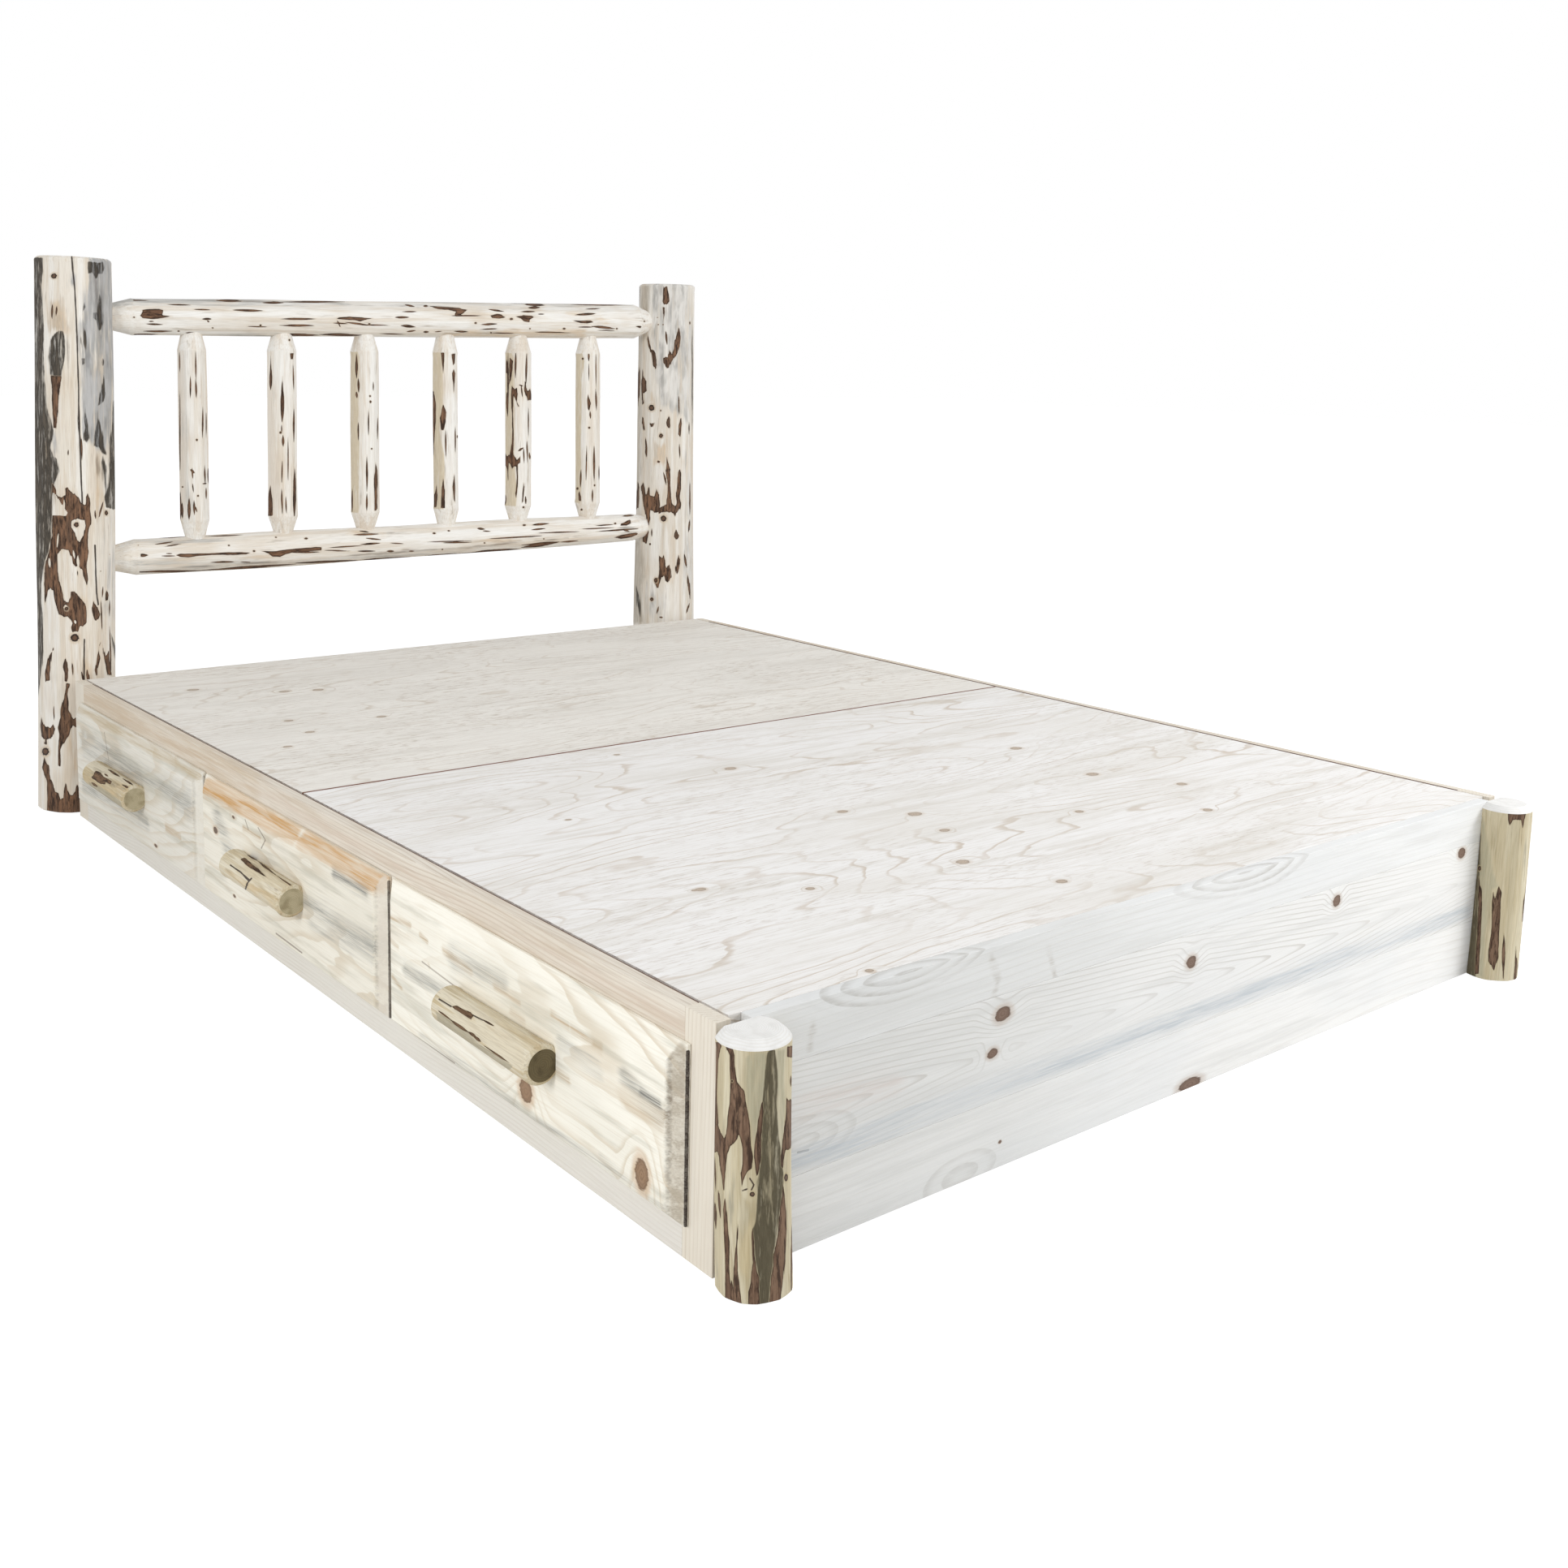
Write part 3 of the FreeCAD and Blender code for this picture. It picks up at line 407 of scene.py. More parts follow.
LOG_MARKS["spindle_3"] = {
    "bark": (
        (439, 431, 439.5, 467, 1.6, 0.6), (441.5, 465, 442, 485, 1.4), (439, 482, 440, 491, 1.3),
        (441.5, 518, 441.5, 544, 1.0), (452, 560, 452, 606, 1.2), (452, 608, 452, 630, 1.2),
        (463, 570, 465, 580, 465, 628, 461, 630, 461, 590), (454, 503, 454, 537, 0.9),
        (460, 470, 460, 482, 0.7), (434, 600, 434, 634, 1.1), (465.5, 510, 465, 545, 0.8),
    ),
    "knots": ((456, 488, 1.2, 1.3), (456.5, 495, 1.3, 1.6), (458, 553, 1.1, 1.1)),
    # Painted shade down the spindle's left side, turned from the key light, partly beige inner bark.
    "film": ((415, 425, 440, 428, 443, 440, 442, 500, 443, 560, 442, 636, 436, 646, 415, 646),),
}
LOG_MARKS["spindle_4"] = {
    "bark": (
        (543, 433, 548, 433, 547, 450, 546, 460, 545, 450),
        (546, 498, 550, 508, 549, 520, 547, 530, 543, 530, 542, 515, 544, 505), (549, 528, 549.5, 566, 1.3),
        (546, 586, 548, 605, 548, 626, 543, 626, 544, 605),
        (538, 597, 539, 610, 538, 625, 535, 625, 535, 610), (556, 436, 561, 436, 560, 448, 558, 450),
        (559, 455, 561, 460, 560, 470, 559, 484, 558, 470, 557, 460), (561, 524, 561, 561, 1.0),
        (560, 583, 561, 600, 561, 620, 559, 615, 557, 600, 559, 590), (541, 416, 540, 434, 1.2),
        (520, 478, 534, 482, 537, 497, 537, 512, 536, 530, 535, 545, 534, 570, 533, 600, 534, 628, 520, 628),
    ),
    "dark": ((533, 470, 534, 620, 4), (533, 440, 535, 480, 2)),
    "grey": ((538, 460, 539, 560, 3),),
    # Painted shade down the spindle's left side, turned from the key light, partly beige inner bark.
    "film": ((520, 425, 546, 436, 546, 470, 546, 500, 541, 530, 548, 560, 548, 590, 546, 640, 520, 640),),
    "knots": ((563.8, 538, 1.2, 1.6),),
}
LOG_MARKS["spindle_5"] = {
    "bark": (
        (626, 433, 626, 512, 1.1), (624, 440, 626, 450, 625, 460, 623, 460),
        (628, 440, 632, 445, 631, 456, 629, 470, 627, 476, 627, 450), (635.5, 432, 635, 466, 1.2),
        (649, 433, 648, 476, 1.2),
        (647, 470, 649, 478, 651, 482, 653, 478, 656, 492, 650, 494, 648, 487, 646, 480),
        (631, 475, 634, 480, 637, 478, 638, 485, 637, 495, 640, 501, 638, 501, 635, 492, 633, 487,
         632.5, 495, 633, 530, 633, 555, 630, 560, 631, 530, 630, 500, 630, 485),
        (624.5, 482, 625.5, 514, 1.4), (642, 474, 644, 491, 0.9), (639, 474, 645, 476, 0.9),
        (619, 553, 625, 562, 628, 560, 630, 548, 632, 545, 633, 560, 637, 567, 641, 562, 641, 570, 638, 572,
         638, 590, 638, 600, 636, 613, 635, 608, 637, 590, 636, 575, 633, 575, 631, 580, 629, 572, 627, 570,
         626, 592, 624, 575, 619, 570), (638, 556, 646, 551, 1.3), (645, 550, 646, 572, 0.9),
        (649, 538, 650, 572, 1.0), (651, 498, 651, 540, 0.9), (652, 557, 653, 567, 1.1),
        (645, 595, 646, 600, 645, 618, 643, 620, 644, 605), (647.5, 611, 648, 622, 1.1),
        (622, 607, 622.5, 622, 1.6),
    ),
    # Painted shade down the spindle's left side, turned from the key light, partly beige inner bark.
    "film": ((612, 425, 629, 430, 633, 442, 634, 560, 637, 600, 635, 640, 612, 640),),
    "knots": ((645, 625, 1.3, 1.3),),
    "tan": ((640, 552, 646, 560, 3),),
}
LOG_MARKS["spindle_6"] = {
    "bark": (
        (725.5, 432, 725.5, 446, 1.2), (725.5, 446, 725.5, 470, 0.7),
        (724.5, 485, 726, 490, 728, 497, 726, 507, 724, 503, 723, 493), (727, 506, 727.5, 516, 1.1),
        (734, 434, 734.5, 480, 0.8), (734, 478, 735, 507, 1.1), (723, 548, 722, 592, 0.8),
        (732, 546, 732, 596, 1.4), (716, 578, 715, 602, 1.0),
        (714, 605, 716, 612, 716, 618, 713, 616, 712, 608), (730, 601, 730, 620, 1.2),
        (738, 573, 738, 592, 0.7),
    ),
    # Painted shade down the spindle's left side, turned from the key light, partly beige inner bark.
    "film": ((700, 425, 716, 430, 721, 445, 717, 470, 716, 560, 716, 600, 714, 632, 700, 632),),
    "knots": (
        (718, 442, 1.3, 1.4), (711.5, 602, 1.4, 1.6), (726, 527, 1.4, 1.4), (732.5, 598, 1.1, 1.3),
        (716.5, 628, 1.3, 1.3),
    ),
}
LOG_MARKS["foot_post_left"] = {
    "bark": (
        (894, 1288, 903, 1292, 905, 1300, 905, 1312, 907, 1325, 909, 1333, 913, 1339, 917, 1345, 918, 1355,
         920, 1365, 922, 1375, 925, 1388, 925, 1400, 926, 1412, 928, 1425, 927, 1440, 921, 1444, 917, 1452,
         914, 1462, 912, 1446, 914, 1436, 915, 1425, 915, 1415, 912, 1402, 910, 1398, 908, 1404, 904, 1408,
         900, 1412, 897, 1420, 895, 1432, 894, 1445, 892.5, 1467, 891, 1467, 889, 1450, 887, 1436, 886, 1425,
         884, 1420, 876, 1420, 876, 1385, 884, 1385, 887, 1392, 889, 1397, 892, 1402, 894, 1397, 895, 1388,
         896, 1375, 899, 1360, 900, 1345, 900, 1330, 899, 1312, 899, 1300, 896, 1294),
        (874, 1284, 887, 1284, 889, 1289, 887, 1296, 885, 1310, 884, 1330, 884, 1350, 885, 1385, 874, 1390),
        (939, 1358, 936, 1370, 934, 1385, 932, 1398, 930, 1410, 929, 1425, 930, 1438, 932, 1450, 935, 1447,
         937, 1432, 938, 1415, 938, 1400, 939, 1385, 940, 1370),
        (893.5, 1474, 895, 1485, 896, 1500, 897, 1512, 899, 1530, 899, 1545, 899, 1560, 900, 1575, 902, 1610,
         894, 1610, 894, 1590, 894, 1575, 894, 1560, 894, 1548, 893, 1535, 892, 1520, 892, 1505, 891, 1490,
         892, 1480),
        (909.5, 1504, 910, 1520, 909, 1535, 909, 1550, 909, 1565, 911, 1578, 912, 1590, 915, 1612, 903, 1612,
         903, 1580, 904, 1565, 905, 1555, 906, 1540, 907, 1525, 908, 1512), (885, 1466, 888, 1502, 1.3),
        (881, 1480, 882, 1515, 1.6), (901, 1574, 903, 1610, 2.2),
        (927, 1513, 929, 1530, 929, 1545, 931, 1555, 933, 1566, 935, 1575, 935, 1590, 937, 1614, 922, 1614,
         922, 1592, 925, 1580, 926, 1568, 928, 1555, 927, 1540, 926, 1525),
        (965, 1458, 967, 1470, 968, 1485, 969, 1500, 969, 1515, 968, 1530, 967, 1550, 966, 1565, 965, 1580,
         963, 1595, 962, 1612, 947, 1612, 949, 1590, 950, 1575, 953, 1560, 953, 1545, 956, 1532, 958, 1518,
         959, 1505, 961, 1492, 963, 1478, 964, 1468),
        (970, 1290, 984, 1286, 984, 1304, 974, 1303, 970, 1302),
        (969, 1352, 971, 1356, 976, 1354, 984, 1343, 984, 1412, 975, 1412, 973, 1416, 968, 1417, 966, 1428,
         965, 1440, 963, 1438, 962, 1425, 964, 1410, 965, 1398, 967, 1385, 968, 1370),
        (976, 1497, 975, 1600, 1.4), (974.5, 1325, 974.5, 1339, 1.1), (881, 1425, 882, 1470, 0.9),
    ),
    "film": (
        (945, 1297, 948, 1294, 956, 1293, 957, 1305, 958, 1320, 958, 1360, 959, 1385, 960, 1400, 962, 1415,
         962, 1430, 965, 1440, 966, 1450, 966, 1458, 964, 1470, 963, 1482, 961, 1495, 960, 1505, 958, 1520,
         956, 1532, 953, 1545, 952, 1560, 950, 1575, 949, 1590, 947, 1612, 936, 1612, 935, 1590, 935, 1575,
         933, 1568, 931, 1555, 930, 1545, 929, 1530, 927, 1515, 930, 1505, 932, 1490, 933, 1470, 932, 1455,
         934, 1446, 937, 1430, 937, 1400, 938, 1372, 941, 1345, 942, 1330, 943, 1315, 944, 1303),
    ),
    "veil": (
        (918, 1303, 924, 1298, 934, 1296, 944, 1298, 945, 1315, 943, 1335, 941, 1355, 938, 1370, 935, 1385,
         932, 1400, 929, 1412, 927, 1408, 926, 1395, 923, 1380, 920, 1362, 918, 1350, 917, 1340, 916, 1325,
         917, 1312),
        (956, 1293, 969, 1291, 969, 1310, 968, 1330, 969, 1352, 968, 1375, 965, 1395, 963, 1412, 961, 1410,
         959, 1385, 957, 1350),
    ),
    "tan": (
        (912, 1470, 930, 1480, 931, 1500, 926, 1520, 927, 1560, 920, 1600, 912, 1560),
        (902, 1345, 906, 1400, 3), (914, 1350, 920, 1420, 3),
    ),
    "dark": (
        (922, 1380, 922, 1440, 3), (902, 1325, 902, 1345, 2), (934, 1400, 934, 1440, 2),
        (960, 1500, 960, 1600, 3), (930, 1540, 930, 1606, 4),
    ),
    "knots": ((927, 1471.5, 3.2, 3.2), (968.5, 1451, 2.4, 4.8), (902, 1332, 1.5, 1.5)),
    "cracks": ((924, 1452, 929, 1460, 926, 1466), (915, 1467, 921, 1465)),
}
LOG_MARKS["foot_post_right"] = {
    "bark": (
        (1858, 1000, 1881, 1000, 1878, 1012, 1876, 1020, 1874, 1010, 1864, 1010, 1860, 1017, 1858, 1010),
        (1847, 1092, 1850, 1100, 1848, 1130, 1847, 1150, 1846, 1180, 1841, 1196, 1834, 1185, 1834, 1170,
         1838, 1150, 1838, 1110, 1840, 1095, 1842, 1108), (1853, 1148, 1852, 1208, 1.8),
        (1882, 1078, 1884, 1095, 1881, 1110, 1879, 1140, 1875, 1135, 1877, 1110),
        (1877, 1140, 1886, 1145, 1884, 1175, 1880, 1212, 1872, 1212, 1875, 1180),
        (1868, 1166, 1870, 1190, 1868, 1212, 1864, 1212, 1866, 1185),
        (1822, 1080, 1826, 1100, 1825, 1150, 1822, 1200, 1817, 1200, 1820, 1150),
    ),
    # Painted shade: the film patch is the post's left flank, turned from the key light and in deep shade.
    "film": (
        (1795, 985, 1824, 985, 1826, 1000, 1825, 1040, 1823, 1080, 1822, 1120, 1821, 1160, 1818, 1205,
         1795, 1205),
    ),
    "veil": (
        (1825, 996, 1831, 1020, 1835, 1040, 1841, 1075, 1847, 1092, 1838, 1097, 1836, 1120, 1831, 1150,
         1829, 1205, 1818, 1205, 1821, 1100, 1824, 1040),
    ),
    "knots": ((1823, 1070, 2, 3),),
    "tan": ((1836, 1010, 1846, 1080, 5), (1832, 1100, 1828, 1190, 4)),
    "dark": ((1822, 1060, 1822, 1190, 4), (1842, 1120, 1842, 1190, 3)),
}
LOG_MARKS["drawer_pull_left_1"] = {
    "bark": (
        (113, 958, 118, 949, 124, 951, 128, 957, 134, 960, 138, 963, 136, 966, 130, 963, 130, 967, 124, 966,
         117, 962), (112, 964, 121, 970, 1.3), (133, 948, 148, 957, 1.3), (151, 959, 165, 968, 1.1),
        (149, 966, 167, 976, 1.6), (168, 970, 187, 979, 1.2), (150, 982, 154, 986, 1.0),
        (128, 953, 134, 957, 1),
    ),
    # Painted shade: the film strip is the pull's underside along its lower edge.
    "film": ((108, 962, 125, 970, 140, 980, 155, 992, 162, 1003, 150, 998, 130, 985, 112, 974),),
    "tan": ((140, 965, 165, 982, 5), (120, 966, 150, 985, 3)),
    "dark": ((116, 952, 140, 966, 4),),
}
LOG_MARKS["drawer_pull_left_2"] = {
    "bark": (
        (297, 1059, 300, 1057, 303, 1058, 310, 1064, 318, 1070, 330, 1082, 322, 1078, 312, 1072, 303, 1066),
        (304, 1053, 318, 1061, 1.3), (316, 1060, 340, 1078, 1.3), (338, 1077, 376, 1103, 1.0),
    ),
    # Painted shade: the film strip is the pull's underside along its lower edge.
    "film": ((276, 1078, 290, 1089, 310, 1102, 330, 1116, 350, 1129, 340, 1132, 300, 1108, 276, 1090),),
    "cracks": ((310, 1082, 305, 1088, 302, 1097), (284, 1066, 297, 1075, 306, 1085), (300, 1078, 307, 1084)),
    "tan": ((285, 1075, 345, 1118, 6),),
    "knots": ((356, 1095, 1.3, 1.2),),
    "dark": ((300, 1060, 326, 1078, 2),),
}
LOG_MARKS["drawer_pull_left_3"] = {
    "bark": (
        (556, 1240, 563, 1239, 570, 1243, 580, 1247, 583, 1251, 581, 1257, 576, 1254, 568, 1249, 560, 1244),
        (594, 1256, 610, 1265, 1.2), (554, 1256, 579, 1273, 1.6), (577, 1271, 587, 1278, 1.5),
        (584, 1277, 593, 1284, 1.8), (590, 1284, 632, 1313, 1.2), (538, 1244, 556, 1257, 1.0),
    ),
    # Painted shade: the film strip is the pull's underside along its lower edge.
    "film": (
        (536, 1245, 560, 1258, 577, 1273, 590, 1284, 632, 1313, 625, 1322, 600, 1304, 580, 1289, 560, 1274,
         540, 1262),
    ),
    "cracks": ((541, 1231, 556, 1240), (583, 1251, 595, 1257)),
    "tan": ((578, 1246, 586, 1260, 3), (602, 1266, 640, 1294, 3.5), (648, 1270, 672, 1284, 4)),
    "dark": ((562, 1242, 582, 1254, 2),),
}


# Node trees

class Tree:
    """The node tree of a material or a world, with short ways to add and join nodes."""

    def __init__(self, owner):
        self.owner = owner
        owner.use_nodes = True
        self.nodes = owner.node_tree.nodes
        self.links = owner.node_tree.links
        self.nodes.clear()

    def add(self, kind, **inputs):
        node = self.nodes.new("ShaderNode" + kind)
        for name, value in inputs.items():
            self.put(node, name, value)
        return node

    def put(self, node, name, value):
        """Sets or links an input, by its name, or by its number after an underscore."""
        socket = node.inputs[int(name[1:])] if name[0] == "_" else node.inputs[name.replace("_", " ")]
        if isinstance(value, bpy.types.NodeSocket):
            self.links.new(value, socket)
        else:
            socket.default_value = value

    def math(self, operation, a, b=0.0, c=0.0, clamp=False):
        node = self.nodes.new("ShaderNodeMath")
        node.operation = operation
        node.use_clamp = clamp
        for index, value in enumerate((a, b, c)):
            self.put(node, "_%d" % index, value)
        return node.outputs[0]

    def vector(self, operation, a, b=(0.0, 0.0, 0.0)):
        node = self.nodes.new("ShaderNodeVectorMath")
        node.operation = operation
        self.put(node, "_0", a)
        if operation == "SCALE":
            self.put(node, "Scale", b)
        elif operation != "LENGTH":
            self.put(node, "_1", b)
        return node.outputs["Value" if operation in ("LENGTH", "DOT_PRODUCT") else "Vector"]

    def attribute(self, name, output="Fac"):
        node = self.nodes.new("ShaderNodeAttribute")
        node.attribute_name = name
        return node.outputs[output]

    def noise(self, vector, scale, detail=2.0, roughness=0.5, colour=False):
        node = self.add("TexNoise", Vector=vector, Scale=scale, Detail=detail, Roughness=roughness)
        return node.outputs["Color" if colour else "Fac"]

    def fit(self, value, low, high, to_low=0.0, to_high=1.0):
        node = self.nodes.new("ShaderNodeMapRange")
        node.interpolation_type = "SMOOTHSTEP"
        for index, item in enumerate((value, low, high, to_low, to_high)):
            self.put(node, "_%d" % index, item)
        return node.outputs[0]

    def mix(self, factor, a, b, blend="MIX"):
        node = self.nodes.new("ShaderNodeMix")
        node.data_type = "RGBA"
        node.blend_type = blend
        self.put(node, "_0", factor)
        for name, value in (("_6", a), ("_7", b)):
            self.put(node, name, value if isinstance(value, bpy.types.NodeSocket) else tuple(value) + (1.0,))
        return node.outputs[2]

    def late_wood(self, reach, pitch, start, full, end):
        """How dark a year ring is, where reach runs across rings a pitch apart. It darkens slowly and ends
        sharply."""
        ring = self.math("FRACT", self.math("DIVIDE", reach, pitch))
        return self.math("MULTIPLY", self.fit(ring, start, full), self.fit(ring, 1.0, end))

    def output(self, kind, shader):
        node = self.nodes.new("ShaderNodeOutput" + kind)
        self.links.new(shader.outputs[0], node.inputs[0])

    def finish(self, colour, roughness, height, distance, strength, specular, metallic=0.0):
        shader = self.add("BsdfPrincipled", Base_Color=colour, Roughness=roughness, Metallic=metallic)
        shader.inputs["Specular IOR Level"].default_value = specular
        bump = self.add("Bump", Height=height, Distance=distance, Strength=strength)
        self.links.new(bump.outputs[0], shader.inputs["Normal"])
        self.output("Material", shader)
        return self.owner


def material_tree(name):
    return Tree(bpy.data.materials.new(name))


def rgb(red, green, blue):
    """A colour written as 0 to 255 screen values, as linear numbers."""
    screen = (red / 255, green / 255, blue / 255)
    return tuple(c / 12.92 if c <= 0.04045 else ((c + 0.055) / 1.055) ** 2.4 for c in screen)


def shaded(tone, factor):
    return tuple(c * factor for c in tone)


# Peeled logs

EASING_PASSES = 24
SWELLINGS = 7
# The rows of a log's two sawn ends, as shares of the radius at the end
CAP_SHARES = (0.97, 0.85, 0.7, 0.55, 0.4, 0.25, 0.12, 0.02)
# How much of a half log's columns lie on its flat, and over what length its hewn form fades in from the ends
FLAT_SHARE = 0.22
FADE_LENGTH = 0.012
SHARP_ANGLE = math.radians(34)


def shape_profile(stations, step):
    """Rows (along, radius) every step through the named stations, with every station kept."""
    rows = []
    for (s0, r0), (s1, r1) in zip(stations, stations[1:]):
        count = max(1, round((s1 - s0) / step))
        for k in range(count):
            t = k / count
            rows.append((s0 + (s1 - s0) * t, r0 + (r1 - r0) * t))
    rows.append(stations[-1])
    return np.array(rows)


def eased(stations, low, high, step=0.01):
    """The stations from index low to high as a line without corners, its ends kept."""
    body = shape_profile(stations[low:high + 1], step)
    radii = body[:, 1].copy()
    for _ in range(EASING_PASSES):
        radii[1:-1] = (radii[:-2] + 2 * radii[1:-1] + radii[2:]) / 4
    return stations[:low] + [(s, r) for s, r in zip(body[:, 0], radii)] + stations[high + 1:]


def lumps(along, angle, rng, size):
    """Low swellings, as a change of radius in metres."""
    total = np.zeros_like(along * angle)
    for _ in range(SWELLINGS):
        turns = rng.integers(1, 5)
        wave = rng.uniform(4.0, 16.0)
        turned = turns * angle + rng.uniform(0, math.tau) + wave * along * rng.choice((-1, 1))
        total += np.cos(turned) / SWELLINGS
    return total * size


def hewn_flats(angle, along, count, rng, depth):
    """How far the flats left by the draw knife lie inside the round, as a share of the radius."""
    edges = np.sort((np.arange(count) + rng.uniform(-0.3, 0.3, count)) * math.tau / count)
    drift = 0.10 * np.sin(along * rng.uniform(3, 6) + rng.uniform(0, math.tau))
    a = (angle + drift - edges[0]) % math.tau + edges[0]
    low = np.clip(np.searchsorted(edges, a, side="right") - 1, 0, count - 1)
    start = edges[low]
    end = np.where(low == count - 1, edges[0] + math.tau, edges[(low + 1) % count])
    half = (end - start) / 2
    inside = np.cos(half) / np.cos(a - start - half)
    return 1 - depth * (1 - inside)


class Log:
    """A log's mesh, with what its material reads at each point: where it is in the log, and how deep it lies
    in bark, film, stain, painted shade or knot.

    Stations are (along, radius) pairs. Body is where the hewn part starts and ends, flats are how many and
    how deep, crowd draws the columns together in front, and flat is the offset and turn of a half log's
    sawn back.
    """

    def __init__(self, name, low, high, front, stations, columns, step, seed, body, flats, swell=0.0012,
                 flat=None, crowd=0.0):
        self.name = name
        self.low = Vector(low)
        self.axis = (Vector(high) - self.low).normalized()
        self.length = (Vector(high) - self.low).length
        self.front = (Vector(front) - self.axis * self.axis.dot(Vector(front))).normalized()
        self.side = self.axis.cross(self.front)
        self.rng = np.random.default_rng(seed)
        self.rows = shape_profile(stations, step)
        self.columns = columns
        self.flat = flat
        self.swell = swell
        self.flats = flats
        self.body = body
        self.crowd = crowd
        self.shape()

    def shape(self):
        along = np.repeat(self.rows[:, :1], self.columns, 1)
        radius = np.repeat(self.rows[:, 1:], self.columns, 1)
        turn = np.arange(self.columns)[None] * math.tau / self.columns
        angle = np.repeat(turn - self.crowd * np.sin(turn), len(self.rows), 0)
        fade = np.clip(np.minimum(along - self.body[0], self.body[1] - along) / FADE_LENGTH, 0, 1)
        count, depth = self.flats
        hewn = 1 + (hewn_flats(angle, along, count, self.rng, depth) - 1) * fade
        outline = radius * hewn + lumps(along, angle, self.rng, self.swell) * fade
        if self.flat:
            outline, angle = self.flattened(outline, angle)
        caps_low = self.cap(along[0], angle[0], outline[0])
        caps_high = self.cap(along[-1], angle[-1], outline[-1])
        self.along, self.angle, self.outline = (
            np.concatenate([low[::-1], middle, high])
            for low, middle, high in zip(caps_low, (along, angle, outline), caps_high))

    def flattened(self, outline, angle):
        """The round cut by a flat, with columns set at the flat's two edges so that they stay sharp."""
        offset, turn = self.flat
        edge = np.arccos(np.clip(offset / outline, -1, 1))
        k = np.repeat(np.arange(self.columns)[None] / self.columns, len(outline), 0)
        on_flat = k < FLAT_SHARE
        across = -edge + 2 * edge * k / FLAT_SHARE
        round_part = edge + (math.tau - 2 * edge) * (k - FLAT_SHARE) / (1 - FLAT_SHARE)
        new = np.where(on_flat, across, round_part)
        radius = np.where(on_flat, offset / np.cos(np.where(on_flat, across, 0.0)), outline)
        return radius, new + turn

    def cap(self, along, angle, outline):
        """Rows of points from the rim of a sawn end towards its middle: along, angle and radius."""
        count = len(CAP_SHARES)
        shares = np.array(CAP_SHARES)[:, None]
        return np.repeat(along[None], count, 0), np.repeat(angle[None], count, 0), outline[None] * shares

    def build(self, material, marks, bend=(0.0, 0.0, 0.0), bend_axis=0, mirrored=False):
        """Makes the log's object. A bend is how many mm its foot, middle and top lie off the straight."""
        rows, columns = self.along.shape
        x = self.outline * np.cos(self.angle)
        y = self.outline * np.sin(self.angle)
        basis = np.array([self.front, self.side, self.axis])
        points = np.stack([x, y, self.along], -1).reshape(-1, 3) @ basis + np.array(self.low)
        t = np.clip(self.along.ravel() / self.length, 0, 1)
        low, middle, high = bend
        away = low * (1 - t) * (1 - 2 * t) + middle * 4 * t * (1 - t) + high * t * (2 * t - 1)
        points[:, bend_axis] += MM * away
        index = np.arange(rows * columns).reshape(rows, columns)
        a, b = index[:-1], np.roll(index[:-1], -1, 1)
        c, d = np.roll(index[1:], -1, 1), index[1:]
        faces = np.stack([a, b, c, d], -1).reshape(-1, 4)
        mesh = bpy.data.meshes.new(self.name)
        end_middles = [list(index[0][::-1]), list(index[-1])]
        mesh.from_pydata(points.tolist(), [], faces.tolist() + end_middles)
        mesh.update()
        mesh.shade_smooth()
        mesh.set_sharp_from_angle(angle=SHARP_ANGLE)
        shown = points * ((-1, 1, 1) if mirrored else (1, 1, 1))
        for name, value in self.fields(shown, marks).items():
            attribute = mesh.attributes.new(name, "FLOAT", "POINT")
            attribute.data.foreach_set("value", value.astype(np.float32))
        local = np.stack([x, y, self.along], -1)
        for name, value in (("grain", local), ("field", local + self.rng.uniform(-20, 20, 3))):
            attribute = mesh.attributes.new(name, "FLOAT_VECTOR", "POINT")
            attribute.data.foreach_set("vector", value.reshape(-1).astype(np.float32))
        mesh.materials.append(material)
        piece = bpy.data.objects.new(self.name, mesh)
        scene.collection.objects.link(piece)
        return piece

    def fields(self, points, marks):
        """What the material reads at each point. The sides that the photograph hides repeat what it shows in
        front of them."""
        u, v = photo_pixels(points)
        bark = mark_depth(marks.get("bark", ()), u, v)
        bark = np.minimum(bark, -mark_depth(marks.get("islands", ()), u, v))
        along = self.along.ravel()
        ends = np.minimum(along - self.body[0], self.body[1] - along) * 1000
        values = {"bark": np.minimum(bark, ends)}
        for name in ("film", "veil"):
            values[name] = np.minimum(mark_depth(marks.get(name, ()), u, v), ends)
        for name in ("tan", "grey", "dark"):
            values[name] = np.clip(mark_depth(marks.get(name, ()), u, v) / MARK_MARGIN + 0.5, 0, 1)
        values["knot"] = knot_distance(marks.get("knots", ()), u, v)
        values["crack"] = crack_distance(marks.get("cracks", ()), u, v)
        return values


# Materials

ACROSS = (1.0, 1.0, 0.0)
MIDDLE_NOISE = (0.5, 0.5, 0.5)


def stretched(t, field, length):
    """The log's own places with the grain drawn out: the smaller the length, the longer the streaks."""
    return t.vector("MULTIPLY", field, (1.0, 1.0, length))


def swing(t, noise, amount, value):
    """Value plus noise about nought, times the amount."""
    return t.math("MULTIPLY_ADD", t.math("SUBTRACT", noise, 0.5), amount, value)


